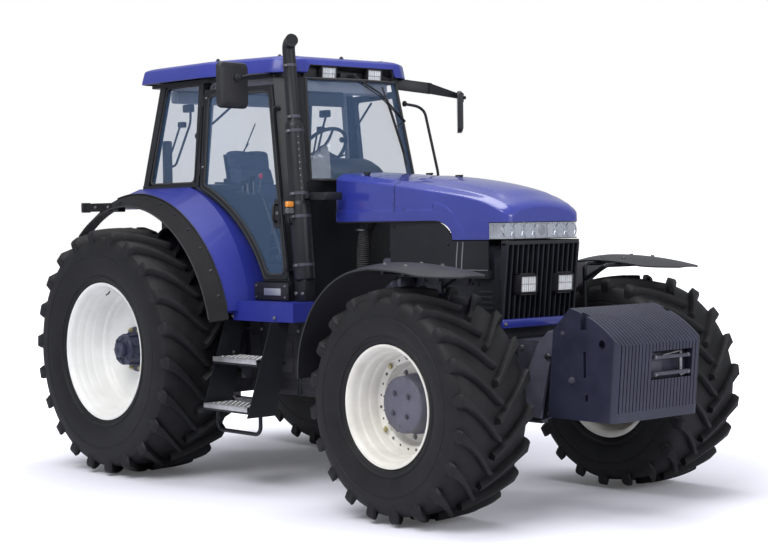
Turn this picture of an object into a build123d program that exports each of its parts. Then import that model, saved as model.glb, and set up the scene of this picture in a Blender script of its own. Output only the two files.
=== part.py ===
from build123d import *
from math import cos, pi, radians, sin, sqrt
import os

# A four-wheel-drive row-crop farm tractor with a ballast block on its front linkage.
# Millimetres. X is forward, Y is to the tractor's left, Z is up.
# The origin is on the ground, midway between the axles.

# Driving dimensions: stance
WHEELBASE = 3110
HALF_REACH = 2650          # from the origin to the ballast's nose, and to the lower links' ends
REAR_R = 920               # rear tyre, axle to ground
FRONT_R = 730              # front tyre, axle to ground
REAR_TYRE_Y = 1030         # tyre centre planes from the middle of the tractor
FRONT_TYRE_Y = 1017
REAR_TYRE_W = 680
FRONT_TYRE_W = 612
KINGPIN_Y = 800

# Driving dimensions: wheels
REAR_LUGS = 22             # a side
FRONT_LUGS = 20            # a side
REAR_LUG_H = 52
FRONT_LUG_H = 46
REAR_LUG_SWEEP = 0.31      # radians that a lug turns back between the middle and the shoulder
FRONT_LUG_SWEEP = 0.36
LUG_TIP_HALF_W = 18
LUG_SHOULDER_DROP = 14     # a lug's top is this much lower at the shoulder
LUG_END_DROP = 64          # a lug ends on the wall this far under the tread
REAR_FLANGE_R = 512
FRONT_FLANGE_R = 382
FLANGE_H = 29              # flange above the bead seat
REAR_RIM_Y = 1329          # outer plane of the rim
FRONT_RIM_Y = 1286
REAR_RIM_W = 598
FRONT_RIM_W = 540
RIM_T = 14
FIT = 0.4                  # gap between a tyre and its rim
REAR_DISC_Y = 1010
FRONT_DISC_Y = 1020
DISC_T = 22
BAR_AXLE_R = 55
BAR_AXLE_END_Y = 1197
HUB_CAP_R = 178
HUB_CAP_END_Y = 1161
AXLE_TUBE_END_Y = 700
KNUCKLE_FACE_Y = 905

# Driving dimensions: hood and grille
HOOD_REAR_X = 95
HOOD_FRONT_X = 1690
HOOD_LOW_Z = 1730          # under the lamp band
HOOD_SIDE_Z = 1858         # lower edge along the sides
HOOD_SKIN = 12
HOOD_PIVOT = (135, 2135)    # hinge line: x and z, up under the crown
HOOD_EAR_Y = 200
HOOD_STEP_X = 1240         # where the hood's side comes down beside the lamp band
HOOD_STEP_R = 175
BAND_REAR_X = 1545
BAND_TOP_Z = 1842
GRILLE_LOW_Z = 1161
GRILLE_HALF_W = 350
GRILLE_SLATS = 15
LAMP_Y = 174
LAMP_Z = 1440
LAMP_HALF = 58
PANEL_Y = 392
PANEL_T = 10
PANEL_GAP = 6

# Driving dimensions: cab
SHELF_Z = 2130             # the fender shelf that the cab's windows stand on
CAB_HALF_W = 800           # at the shelf
TUMBLEHOME = 0.10          # how much the sides lean in per millimetre of height
ROOF_LOW_Z = 2930
ROOF_TOP_Z = 3062
ROOF_REAR_X = -1831
ROOF_FRONT_X = -207
B_POST_X = -1034
C_POST_X = -1775
C_POST_TOP_X = -1624
SCREEN_LOW = (-96, 506)    # windscreen corner at SCREEN_LOW_Z: x and half width
SCREEN_TOP = (-222, 436)   # and at SCREEN_TOP_Z
SCREEN_LOW_Z = 2150
SCREEN_TOP_Z = 2900
SCREEN_BOW = 70
GLASS_T = 8
SILL_LOW_Z = 1304
SILL_TOP_Z = 1447
POST_W = 70
FIREWALL_X = -84
SILL_REAR_X = -425
RAIL_LOW_Z = 2900
RAIL_INSET = 78            # roof edge to the rails under it
DOOR_T = 36
DOOR_GAP = 8
DOOR_TOP_Z = 2848
DOOR_ARCH_R = 1305
HINGE_HEIGHTS = (2250, 2760)
HINGE_R = 7
GRAB_RAIL_Z = (1520, 2680)
GRAB_FOOT_R = 15
LAMP_BAY_DEPTH = 70
LAMP_BAY_HALF = 395
LAMP_BAY_Z = 2965
COLUMN_TOP = (-547, 0, 2385)
WHEEL_TILT = 50            # degrees the steering wheel leans back from flat

# Driving dimensions: fenders, platforms and steps
FENDER_EDGE_R = 1165       # outer edge of the painted rear fender, about the axle
FENDER_EDGE_Y = 1000
FENDER_INNER_Y = 640
FENDER_ARCH_R = 1085       # room over the rear tyre
FLARE_EDGE_R = 1072
FLARE_EDGE_Y = 1110
FLARE_FROM = 13            # degrees up from straight ahead
FLARE_TO = 128
PLATFORM_LOW_Z = 1170
STEP_X = -262
STEP_HALF = 258
STEP_LOW_Y = 1035
LOOP_Z = 401
EXHAUST_Y = 650
EXHAUST_TIP_Z = 3195
STEP_Y = 950
STEP_W = 250
TREAD_LOW_Z = 565
TREAD_TOP_Z = 886
FRONT_FENDER_R = 733        # centre line of the rear shell
FRONT_FENDER_AT = (-160, 140)   # its centre from the axle: back and up
FRONT_FENDER_IN_Y = 770
FRONT_FENDER_OUT_Y = 1285
FRONT_FENDER_CROWN = 33
FRONT_FENDER_T = 9
FRONT_FENDER_NOSE = (500, 798)  # tip from the axle: forward and up
STAY_BACK = 120            # stay behind the kingpin, and its distance from the middle
STAY_Y = 672
STAY_R = 15

# Driving dimensions: chassis, engine and linkages
RAIL_Y = 170               # half width of the front chassis
RAIL_BOTTOM_Z = 800
RAIL_TOP_Z = 1090
ENGINE_HALF_W = 230
GEAR_HALF_W = 225
AXLE_TUBE_R = 150
YOKE_BACK_Y = 712
YOKE_GAP = 125             # half the height between the yoke's lugs
YOKE_LUG_T = 42
KNUCKLE_R = 72
KINGPIN_R = 28
HITCH_PIVOT = (1845, 640)  # front linkage pivot: x and z
HITCH_ARM_Y = 300
HITCH_ARM_T = 46
BALLAST_HALF_W = 400
BALLAST_LOW_Z = 628
BALLAST_REAR_X = 2072
BALLAST_CORNER_R = 45
BALLAST_FINS = 25
FIN_H = 9
FIN_GAP = 7
NOSE_POCKET = (-80, 300, 870, 1045)    # y from, to, z from, to
NOSE_POCKET_D = 45
BALLAST_EYE = (2520, 1101)
SIDE_RECESS_D = 40
LINK_PIVOT = (-1700, 560)  # rear lower link pivots
LINK_PIVOT_Y = 250
LINK_END_Y = 480
LINK_END_Z = 610
LINK_BALL_R = 45
LIFT_PIVOT = (-1790, 1150)  # rockshaft: x and z
LIFT_ARM_Y = 405
LIFT_ARM_LEN = 310
LIFT_SHARE = 0.45          # where the rods reach the lower links, from their pivots
TOP_PIVOT = (-1905, 960)
TOP_LINK_LEN = 620
TOP_LINK_LEAN = 9          # degrees back from upright, stowed
DRAWBAR_Z = 450
DRAWBAR_HOLE_X = -2330
PTO_Z = 780
LINK_BORE_R = 18.7
TOP_LINK_BORE_R = 16.0
DRAWBAR_BORE_R = 17.0
PTO_R = 22.2
RUN = 0.3                  # running clearance at pins and curved faces

X_REAR = -WHEELBASE / 2
X_FRONT = WHEELBASE / 2


def box(x0, x1, y0, y1, z0, z1):
    return Pos((x0 + x1) / 2, (y0 + y1) / 2, (z0 + z1) / 2) * Box(x1 - x0, y1 - y0, z1 - z0)


def cyl_y(x, z, r, y0, y1):
    return Pos(x, (y0 + y1) / 2, z) * Rot(90, 0, 0) * Cylinder(r, y1 - y0)


def cyl_x(y, z, r, x0, x1):
    return Pos((x0 + x1) / 2, y, z) * Rot(0, 90, 0) * Cylinder(r, x1 - x0)


def cyl_z(x, y, r, z0, z1):
    return Pos(x, y, (z0 + z1) / 2) * Cylinder(r, z1 - z0)


def rod(p, q, r):
    """A round bar from point p to point q."""
    p, q = Vector(*p), Vector(*q)
    plane = Plane(origin=p, z_dir=q - p)
    return extrude(plane * Circle(r), (q - p).length)


def side_plate(points, y0, y1):
    """A plate whose outline is given as x, z corners, from y0 to y1."""
    face = make_face(Polyline(*[(x, 0, z) for x, z in points], close=True))
    return Pos(0, y0, 0) * extrude(face, y1 - y0, dir=(0, 1, 0))


def prism(low, high):
    """A straight sided solid between two polygons of as many corners."""
    sections = [make_face(Polyline(*p, close=True)) for p in (low, high)]
    return loft(sections, ruled=True)


def rail(points, corner_r, tube_r):
    """A bent tube through the points."""
    path = FilletPolyline(*points, radius=corner_r)
    return sweep(Plane(origin=path @ 0, z_dir=path % 0) * Circle(tube_r), path)


def both_sides(shape):
    return [shape, mirror(shape, about=Plane.XZ)]


def save(name, *shapes):
    solids = []
    for shape in shapes:
        solids += list(shape.solids()) if hasattr(shape, "solids") else [shape]
    export_step(solids[0] if len(solids) == 1 else Compound(solids), "parts/" + name + ".step")


# Wheels: profiles are radius and distance outward from the middle of the tractor

def spin(profile, x, z):
    """Revolve a radius, outward profile about the wheel's own axle."""
    face = make_face(Polyline(*[(r, y, 0) for r, y in profile], close=True))
    return Pos(x, 0, z) * revolve(face, Axis.Y)


def tyre(over_r, lug_h, width, centre_y, flange_r, rim_out_y, rim_w, lugs, sweep):
    """A tyre of flat facets: chevron lugs over the tread, plain walls and a seat on the rim.

    Each half of the tread has its own lugs, half a pitch behind the other half's. A lug runs
    from the middle plane out to the shoulder and ends on the wall, turned back by sweep radians.
    """
    half = width / 2
    tread = over_r - lug_h
    pitch = 2 * pi / lugs
    seat_r = flange_r - FLANGE_H + FIT
    # The tips of both halves beside the ground stand on one flat, at over_r from the axle.
    tip_r = over_r / cos(pitch / 4 - LUG_TIP_HALF_W / over_r)
    start = pi - pitch / 4 - sweep / 2
    # Each row: out from the middle plane, top and foot radius, their half widths, share of the sweep
    rows = (
        (0, tip_r, tread, LUG_TIP_HALF_W, 32, 0.5),
        (0.45 * half, tip_r - 3, tread - 2, 22, 38, -0.04),
        (0.82 * half, tip_r - LUG_SHOULDER_DROP, tread - 12, 32, 48, -0.42),
        (0.975 * half, 0, tread - LUG_END_DROP, 0, 46, -0.5),
    )

    def lug_angle(side, n):
        return start + (n if side > 0 else n + 0.5) * pitch

    def corner(side, n, row, edge, top=False):
        """A corner of a lug: edge is -1 or 1 along the tread, top or foot."""
        out, top_r, foot_r, top_w, foot_w, share = rows[row]
        r, w = (top_r, top_w) if top else (foot_r, foot_w)
        a = lug_angle(side, n) + share * sweep + edge * w / over_r
        return (r * sin(a), centre_y + side * out, r * cos(a))

    # The wall's rings, radius and outward distance: the bulge, the rim's edge and the seat
    def wall_rings(side):
        edge = rim_out_y if side > 0 else rim_out_y - rim_w
        return (((over_r + seat_r) / 2 - 10, centre_y + side * half),
                (flange_r + 12, edge - side * RIM_T), (seat_r, edge - side * (RIM_T + FIT)))

    def wall_point(side, ring, n):
        r, y = wall_rings(side)[ring]
        a = lug_angle(side, n) - sweep / 2
        grown = r / cos(pitch / 2)
        return (grown * sin(a), y, grown * cos(a))

    faces = []

    def fan(*points):
        """Triangles round the first point."""
        for p, q in zip(points[1:], points[2:]):
            faces.append(Face(Wire.make_polygon([points[0], p, q])))

    for side in (1, -1):
        for n in range(lugs):
            top = [[corner(side, n, row, edge, True) for edge in (-1, 1)] for row in range(3)]
            foot = [[corner(side, n, row, edge) for edge in (-1, 1)] for row in range(4)]
            after = [corner(side, n + 1, row, -1) for row in range(4)]
            between = [corner(-side, n if side > 0 else n + 1, 0, edge) for edge in (-1, 1)]
            # The lug's end at the middle, its top and flanks, and its end on the wall
            fan(foot[0][0], top[0][0], top[0][1], foot[0][1])
            for row in (0, 1):
                fan(top[row][0], top[row + 1][0], top[row + 1][1], top[row][1])
                fan(foot[row][0], foot[row + 1][0], top[row + 1][0], top[row][0])
                fan(top[row][1], top[row + 1][1], foot[row + 1][1], foot[row][1])
            fan(top[2][0], foot[3][0], foot[3][1], top[2][1])
            fan(foot[2][0], foot[3][0], top[2][0])
            fan(top[2][1], foot[3][1], foot[2][1])
            # The tread up to the next lug
            fan(foot[1][1], after[1], after[0], between[1], between[0], foot[0][1])
            fan(foot[1][1], foot[2][1], after[2], after[1])
            fan(foot[2][1], foot[3][1], after[3], after[2])
            # The wall from the lugs' ends down to the seat
            near, far = wall_point(side, 0, n), wall_point(side, 0, n + 1)
            fan(foot[3][0], near, foot[3][1])
            fan(foot[3][1], near, far, after[3])
            for ring in (0, 1):
                fan(wall_point(side, ring, n), wall_point(side, ring + 1, n),
                    wall_point(side, ring + 1, n + 1), wall_point(side, ring, n + 1))
    for n in range(lugs):
        fan(wall_point(1, 2, n), wall_point(1, 2, n + 1), wall_point(-1, 2, n))
        fan(wall_point(-1, 2, n), wall_point(1, 2, n + 1), wall_point(-1, 2, n + 1))
    return Solid(Shell(faces))


def rim(flange_r, rim_out_y, rim_w, disc_y, hub_hole_r):
    seat = flange_r - FLANGE_H
    rim_in_y = rim_out_y - rim_w
    bore = seat - RIM_T
    return [
        (flange_r, rim_out_y), (flange_r, rim_out_y - RIM_T), (seat, rim_out_y - RIM_T),
        (seat, rim_in_y + RIM_T), (flange_r, rim_in_y + RIM_T), (flange_r, rim_in_y),
        (bore, rim_in_y + RIM_T), (bore, disc_y - DISC_T), (hub_hole_r, disc_y - DISC_T),
        (hub_hole_r, disc_y), (bore, disc_y), (bore, rim_out_y - 2 * RIM_T),
    ]


def make_rear_wheel():
    """Left rear wheel: rim, tyre and the hub clamped on the bar axle."""
    rim_solid = spin(rim(REAR_FLANGE_R, REAR_RIM_Y, REAR_RIM_W, REAR_DISC_Y, 120), 0, 0)
    tyre_solid = tyre(REAR_R, REAR_LUG_H, REAR_TYRE_W, REAR_TYRE_Y, REAR_FLANGE_R,
                      REAR_RIM_Y, REAR_RIM_W, REAR_LUGS, REAR_LUG_SWEEP)
    flange_y = REAR_DISC_Y + FIT
    hub = spin([(0, AXLE_TUBE_END_Y + RUN), (BAR_AXLE_R, AXLE_TUBE_END_Y + RUN),
                (BAR_AXLE_R, REAR_DISC_Y - DISC_T - 70), (105, REAR_DISC_Y - DISC_T - 50),
                (105, flange_y), (170, flange_y), (170, flange_y + 26), (118, flange_y + 40),
                (100, BAR_AXLE_END_Y - 40), (BAR_AXLE_R, BAR_AXLE_END_Y - 40),
                (BAR_AXLE_R, BAR_AXLE_END_Y), (0, BAR_AXLE_END_Y)], 0, 0)
    place = Pos(X_REAR, 0, REAR_R)
    return place * rim_solid, place * tyre_solid, place * hub


def make_front_wheel():
    """Left front wheel: rim, tyre and the final drive cap."""
    rim_solid = spin(rim(FRONT_FLANGE_R, FRONT_RIM_Y, FRONT_RIM_W, FRONT_DISC_Y, 190), 0, 0)
    tyre_solid = tyre(FRONT_R, FRONT_LUG_H, FRONT_TYRE_W, FRONT_TYRE_Y, FRONT_FLANGE_R,
                      FRONT_RIM_Y, FRONT_RIM_W, FRONT_LUGS, FRONT_LUG_SWEEP)
    flange_y = FRONT_DISC_Y - DISC_T - FIT
    hub = spin([(0, KNUCKLE_FACE_Y + RUN), (160, KNUCKLE_FACE_Y + RUN), (160, flange_y - 26),
                (225, flange_y - 26), (225, flange_y), (188, flange_y), (188, flange_y + 60),
                (HUB_CAP_R, HUB_CAP_END_Y - 18), (HUB_CAP_R - 26, HUB_CAP_END_Y),
                (0, HUB_CAP_END_Y)], 0, 0)
    place = Pos(X_FRONT, 0, FRONT_R)
    return place * rim_solid, place * tyre_solid, place * hub


# Chassis


def make_transmission():
    spine = box(-1350, 330, -GEAR_HALF_W, GEAR_HALF_W, 760, 1160)
    case = box(-1860, -1250, -290, 290, 660, 1230)
    case = chamfer(case.edges().filter_by(Axis.X), 60)
    bell = box(150, 330, -260, 260, 720, 1250)
    body = spine + case + bell
    for side in (-1, 1):
        y0, y1 = sorted((side * 280, side * AXLE_TUBE_END_Y))
        tube = cyl_y(X_REAR, REAR_R, AXLE_TUBE_R, y0, y1)
        y0, y1 = sorted((side * 280, side * 400))
        root = cyl_y(X_REAR, REAR_R, AXLE_TUBE_R + 50, y0, y1)
        body += tube + root
    px, pz = LINK_PIVOT
    body += box(px - 60, px + 60, -LINK_PIVOT_Y + 40, LINK_PIVOT_Y - 40, pz - 50, 661)
    body += cyl_y(px, pz, 16, -LINK_PIVOT_Y - 32, LINK_PIVOT_Y + 32)
    shaft_x, shaft_z = LIFT_PIVOT
    body += cyl_y(shaft_x, shaft_z, 40, -LIFT_ARM_Y - 26, LIFT_ARM_Y + 26)
    top_x, top_z = TOP_PIVOT
    for side in (-1, 1):
        body += box(top_x - 30, -1859, side * 38 - 9, side * 38 + 9, top_z - 45, top_z + 45)
    body += cyl_y(top_x, top_z, 13, -47, 47)
    pto = cyl_x(0, PTO_Z, PTO_R, -1990, -1859)
    return body + pto


def make_front_frame():
    """Cast side rails that carry the engine, the front axle saddle and the linkage cheeks."""
    rails = side_plate([(330, RAIL_BOTTOM_Z), (1200, RAIL_BOTTOM_Z), (1330, 900), (1780, 900), (1780, RAIL_TOP_Z),
                        (330, RAIL_TOP_Z)], -RAIL_Y, RAIL_Y)
    px, pz = HITCH_PIVOT
    cheek_in = HITCH_ARM_Y - HITCH_ARM_T / 2 - 60
    cheek = side_plate([(1700, 620), (px - 60, pz - 75), (px + 55, pz - 75), (px + 55, pz + 75),
                        (1900, 760), (1900, 1090), (1700, 1090)], cheek_in, cheek_in + 56)
    nose = box(1700, 1900, -cheek_in, cheek_in, 900, 1090)
    saddle = box(X_FRONT - 140, X_FRONT + 140, -RAIL_Y, RAIL_Y, 885, 901)
    frame = rails + nose + saddle
    for plate in both_sides(cheek):
        frame += plate
    pin_y = HITCH_ARM_Y + HITCH_ARM_T / 2 + 20
    return frame + cyl_y(px, pz, 27, -pin_y, pin_y)


def make_engine():
    sump = box(360, 1150, -190, 190, 700, RAIL_BOTTOM_Z)
    block = box(330, 1330, -ENGINE_HALF_W, ENGINE_HALF_W, RAIL_TOP_Z, 1560)
    head = box(380, 1290, -150, 150, 1560, 1690)
    cover = box(420, 1250, -100, 100, 1690, 1770)
    fan = cyl_x(0, 1430, 250, 1345, 1375) + cyl_x(0, 1430, 60, 1330, 1345)
    return [sump, block + head + cover + fan]


def make_radiator():
    """Core and the frame round it that carries the side panels."""
    core = box(1420, 1530, -300, 300, RAIL_TOP_Z, 1690)
    inner, low = PANEL_Y - PANEL_T, GRILLE_HALF_W - PANEL_T + 6
    upper = box(1440, 1500, -inner, inner, 1487, 1530)
    return core + upper + box(1440, 1500, -low, low, GRILLE_LOW_Z, 1479)


def make_front_axle():
    """Driven axle beam, with a yoke at each end for the steering knuckle."""
    beam_z = FRONT_R
    centre = Pos(X_FRONT, 0, beam_z) * Sphere(150)
    beam = prism([(X_FRONT - 75, -YOKE_BACK_Y + 1, beam_z - 75), (X_FRONT + 75, -YOKE_BACK_Y + 1, beam_z - 75),
                  (X_FRONT + 75, -YOKE_BACK_Y + 1, beam_z + 75), (X_FRONT - 75, -YOKE_BACK_Y + 1, beam_z + 75)],
                 [(X_FRONT - 110, 0, beam_z - 95), (X_FRONT + 110, 0, beam_z - 95),
                  (X_FRONT + 110, 0, beam_z + 95), (X_FRONT - 110, 0, beam_z + 95)])
    back = box(X_FRONT - 75, X_FRONT + 75, -YOKE_BACK_Y, -YOKE_BACK_Y + 40,
               beam_z - YOKE_GAP - YOKE_LUG_T, beam_z + YOKE_GAP + YOKE_LUG_T)
    yoke = back
    for z0 in (beam_z + YOKE_GAP, beam_z - YOKE_GAP - YOKE_LUG_T):
        yoke += box(X_FRONT - 70, X_FRONT + 70, -KINGPIN_Y, -YOKE_BACK_Y + 1, z0, z0 + YOKE_LUG_T)
        yoke += cyl_z(X_FRONT, -KINGPIN_Y, 70, z0, z0 + YOKE_LUG_T)
    yoke -= cyl_z(X_FRONT, -KINGPIN_Y, KINGPIN_R + RUN, beam_z - 300, beam_z + 300)
    pivot = box(X_FRONT - 60, X_FRONT + 60, -90, 90, beam_z + 80, 885)
    half = beam + yoke
    return centre + pivot + half + mirror(half, about=Plane.XZ)


def make_knuckle():
    """Right knuckle, turning on its kingpin between the yoke's lugs."""
    z = FRONT_R
    gap = YOKE_GAP - 1
    swivel = cyl_z(X_FRONT, -KINGPIN_Y, KNUCKLE_R, z - gap, z + gap)
    top = z + YOKE_GAP + YOKE_LUG_T + 4
    pin = cyl_z(X_FRONT, -KINGPIN_Y, KINGPIN_R, z - YOKE_GAP - YOKE_LUG_T + 2, top)
    neck = cyl_y(X_FRONT, z, 105, -KNUCKLE_FACE_Y, -KINGPIN_Y)
    flange = cyl_y(X_FRONT, z, 165, -KNUCKLE_FACE_Y, -KNUCKLE_FACE_Y + 30)
    return swivel + pin + neck + flange


# Front fender on the knuckle

def make_front_fender():
    """Right fender: a crowned shell round the back of the tyre, drawn in to a tongue in front."""
    cx, cz = X_FRONT + FRONT_FENDER_AT[0], FRONT_R + FRONT_FENDER_AT[1]
    r = FRONT_FENDER_R
    mid_y = (FRONT_FENDER_IN_Y + FRONT_FENDER_OUT_Y) / 2
    half = (FRONT_FENDER_OUT_Y - FRONT_FENDER_IN_Y) / 2
    back = ThreePointArc((cx - r, -mid_y, cz), (cx - r * sin(pi / 4), -mid_y, cz + r * cos(pi / 4)),
                         (cx, -mid_y, cz + r))
    tip = (X_FRONT + FRONT_FENDER_NOSE[0], -mid_y, FRONT_R + FRONT_FENDER_NOSE[1])
    front = TangentArc(back @ 1, tip, tangent=(1, 0, 0))
    lower = Line((cx - r, -mid_y, cz - 20), (cx - r, -mid_y, cz))
    path = Wire([lower.edge(), back.edge(), front.edge()])
    drop = FRONT_FENDER_CROWN
    t = FRONT_FENDER_T
    outer = ThreePointArc((-half, -drop), (0, 0), (half, -drop))
    inner = ThreePointArc((half, -drop - t), (0, -t), (-half, -drop - t))
    band = make_face([outer, Line(outer @ 1, inner @ 0), inner, Line(inner @ 1, outer @ 0)])
    shell = sweep(Plane(origin=lower @ 0, x_dir=(0, 1, 0), z_dir=(0, 0, 1)) * band, path)
    nose_x, wide_x = tip[0], X_FRONT + 130
    tongue = half * 0.35
    plan = make_face([
        Line((0, -mid_y - half - 5, 0), (wide_x, -mid_y - half - 5, 0)),
        ThreePointArc((wide_x, -mid_y - half - 5, 0), (nose_x - 110, -mid_y - half * 0.82, 0),
                      (nose_x, -mid_y - tongue, 0)),
        Line((nose_x, -mid_y - tongue, 0), (nose_x, -mid_y + tongue, 0)),
        ThreePointArc((nose_x, -mid_y + tongue, 0), (nose_x - 110, -mid_y + half * 0.82, 0),
                      (wide_x, -mid_y + half + 5, 0)),
        Line((wide_x, -mid_y + half + 5, 0), (0, -mid_y + half + 5, 0)),
        Line((0, -mid_y + half + 5, 0), (0, -mid_y - half - 5, 0))])
    return shell & extrude(plan, 2000, dir=(0, 0, 1))


def fender_edge_z(x):
    """Height of the shell's inner edge, near its top, at x."""
    cx, cz = X_FRONT + FRONT_FENDER_AT[0], FRONT_R + FRONT_FENDER_AT[1]
    run = X_FRONT + FRONT_FENDER_NOSE[0] - cx
    drop = cz + FRONT_FENDER_R - FRONT_R - FRONT_FENDER_NOSE[1]
    r = FRONT_FENDER_R if x < cx else (run ** 2 + drop ** 2) / (2 * drop)
    top = cz + FRONT_FENDER_R - r + sqrt(r ** 2 - (x - cx) ** 2)
    return top - FRONT_FENDER_CROWN - FRONT_FENDER_T


def make_fender_stay():
    """Right bracket: a foot on the kingpin cap, an upright inside the tyre, two outriggers."""
    x, y = X_FRONT - STAY_BACK, -STAY_Y
    foot_z = FRONT_R + YOKE_GAP + YOKE_LUG_T + 4
    foot = box(x - 35, X_FRONT + 30, -KINGPIN_Y - 35, y + 25, foot_z, foot_z + 18)
    first_z = fender_edge_z(x) - STAY_R - RUN
    second_z = fender_edge_z(x + 190) - STAY_R - RUN
    out_y = -FRONT_FENDER_OUT_Y + 90
    first = rail([(x, y, foot_z + 17), (x, y, first_z), (x, out_y, first_z)], 40, STAY_R)
    second = rail([(x, y, first_z - 110), (x + 190, y, second_z), (x + 190, out_y, second_z)], 30, STAY_R)
    return foot + first + second


# Hood, lamps and grille

def hood_section(x, half_w, low, crease, crown, corner):
    """One upright section: straight sides, a rounded shoulder and a crowned top."""
    a = (x, -half_w, low)
    b = (x, -half_w, crease - corner)
    c = (x, -half_w + corner, crease)
    mid = (x, -half_w + corner * 0.29, crease - corner * 0.29)
    left = [(px, -py, pz) for px, py, pz in (a, b, mid, c)]
    return make_face([
        Line(a, b), ThreePointArc(b, mid, c), ThreePointArc(c, (x, 0, crown), left[3]),
        ThreePointArc(left[3], left[2], left[1]), Line(left[1], left[0]), Line(left[0], a)])


HOOD_STATIONS = (          # x, half width, shoulder height, crown height, shoulder radius
    (HOOD_REAR_X, 425, 2185, 2210, 55),
    (560, 420, 2138, 2178, 60),
    (1100, 405, 2072, 2130, 65),
    (1480, 378, 2005, 2058, 60),
    (HOOD_FRONT_X, 352, 1924, 1962, 40),
)


def hood_loft(skin):
    sections = []
    for x, half_w, crease, crown, corner in HOOD_STATIONS:
        last = x == HOOD_FRONT_X
        sections.append(hood_section(x - (skin if last else 0), half_w - skin, HOOD_LOW_Z - (1 if skin else 0),
                                     crease - skin, crown - skin, corner - skin * 0.5))
    return loft(sections)


def under_edge(x0, z0, back, down, y):
    """Outline below the hood's raised side edge, moved back and down by a clearance."""
    top = HOOD_SIDE_Z - down
    turn_x = HOOD_STEP_X - HOOD_STEP_R - back
    low = (HOOD_STEP_X - back, y, HOOD_LOW_Z - down)
    mid = (turn_x + HOOD_STEP_R * 0.62, y, top - (HOOD_SIDE_Z - HOOD_LOW_Z) * 0.3)
    return make_face([
        Line((x0, y, z0), (x0, y, top)), Line((x0, y, top), (turn_x, y, top)),
        ThreePointArc((turn_x, y, top), mid, low), Line(low, (low[0], y, z0)),
        Line((low[0], y, z0), (x0, y, z0))])


def side_cut():
    """The space under the hood's raised side edge, in front of the cab."""
    face = under_edge(HOOD_REAR_X - 200, HOOD_LOW_Z - 60, 0, 0, -600)
    return extrude(face, 1200, dir=(0, 1, 0))


def lamp_band_space(grow):
    """The wrapped recess that the headlamp band sits in."""
    return box(BAND_REAR_X - grow, HOOD_FRONT_X + 40, -500, 500, HOOD_LOW_Z - 5, BAND_TOP_Z + grow)


def make_hood():
    outer = hood_loft(0)
    inner = hood_loft(HOOD_SKIN)
    shell = outer - inner - side_cut()
    shell -= lamp_band_space(FIT)
    px, pz = HOOD_PIVOT
    for side in (-1, 1):
        y = side * HOOD_EAR_Y
        shell += box(px - 16, px + 16, y - 8, y + 8, pz - 22, pz + 60) - cyl_y(px, pz, 10 + RUN, y - 20, y + 20)
    return shell


def make_headlamps():
    """The clear band round the hood's nose, with the lamps' housing behind it."""
    return (hood_loft(0) - hood_loft(HOOD_SKIN + 50)) & lamp_band_space(0)


def make_grille():
    """Curved upright slats between a sill, a header and two end posts."""
    x_top, x_low = 1690, 1630
    z0, z1 = GRILLE_LOW_Z, HOOD_LOW_Z - 6
    lean = (x_top - x_low) / (z1 - z0)

    def x_at(z):
        return x_low + (z - z0) * lean

    depth = 60
    w = GRILLE_HALF_W - 4
    parts = []
    for zlo, zhi in ((z0, z0 + 30), (z1 - 30, z1)):
        parts.append(prism([(x_at(zlo) - depth, -w, zlo), (x_at(zlo), -w, zlo), (x_at(zlo), w, zlo),
                            (x_at(zlo) - depth, w, zlo)],
                           [(x_at(zhi) - depth, -w, zhi), (x_at(zhi), -w, zhi), (x_at(zhi), w, zhi),
                            (x_at(zhi) - depth, w, zhi)]))
    pitch = 2 * (w - 12) / (GRILLE_SLATS - 1)
    for i in range(GRILLE_SLATS):
        y = -w + 12 + i * pitch
        half = 12 if i in (0, GRILLE_SLATS - 1) else 7
        zlo, zhi = z0 + 29, z1 - 29
        parts.append(prism([(x_at(zlo) - depth, y - half, zlo), (x_at(zlo), y - half, zlo),
                            (x_at(zlo), y + half, zlo), (x_at(zlo) - depth, y + half, zlo)],
                           [(x_at(zhi) - depth, y - half, zhi), (x_at(zhi), y - half, zhi),
                            (x_at(zhi), y + half, zhi), (x_at(zhi) - depth, y + half, zhi)]))
    grille = parts[0]
    for piece in parts[1:]:
        grille += piece
    for side in (-1, 1):
        y = side * LAMP_Y
        half = LAMP_HALF + RUN
        grille -= box(1500, 1800, y - half, y + half, LAMP_Z - half, LAMP_Z + half)
    return grille


def make_side_panels():
    """Right engine side panel under the hood, and the cowl beside the radiator."""
    face = under_edge(620, 1480, 8, PANEL_GAP, -PANEL_Y)
    panel = extrude(face, PANEL_T, dir=(0, 1, 0))
    low_edge = GRILLE_LOW_Z
    cowl = box(HOOD_STEP_X - 8, 1560, -PANEL_Y, -PANEL_Y + PANEL_T, 1480, HOOD_LOW_Z - PANEL_GAP)
    skirt_y = GRILLE_HALF_W + 6
    skirt = box(1390, 1620, -skirt_y, -skirt_y + PANEL_T, low_edge, 1479)
    ledge = box(1390, 1560, -PANEL_Y, -skirt_y + PANEL_T, 1479, 1487)
    return panel + cowl + ledge + skirt


# Cab

def lean_in(y, z):
    """Half width of the cab's side at height z, for half width y at the shelf."""
    return y - (z - SHELF_Z) * TUMBLEHOME


def post(x_low, x_high, half_y, wide, deep):
    """A right-hand post from the shelf to the roof rails, leaning in with the side."""
    z0, z1 = SHELF_Z, RAIL_LOW_Z
    ends = []
    for x, z in ((x_low, z0), (x_high, z1)):
        y = lean_in(half_y, z)
        ends.append([(x, -y, z), (x + wide, -y, z), (x + wide, -y + deep, z), (x, -y + deep, z)])
    return prism(*ends)


def b_post_lean(z):
    """How far the door's hinge line has moved forward at height z."""
    return (z - SHELF_Z) * DOOR_PLANE.y_dir.X / DOOR_PLANE.y_dir.Z


def screen_corner(z):
    """x and half width of the windscreen's edge at height z."""
    t = (z - SCREEN_LOW_Z) / (SCREEN_TOP_Z - SCREEN_LOW_Z)
    return tuple(a + t * (b - a) for a, b in zip(SCREEN_LOW, SCREEN_TOP))


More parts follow.
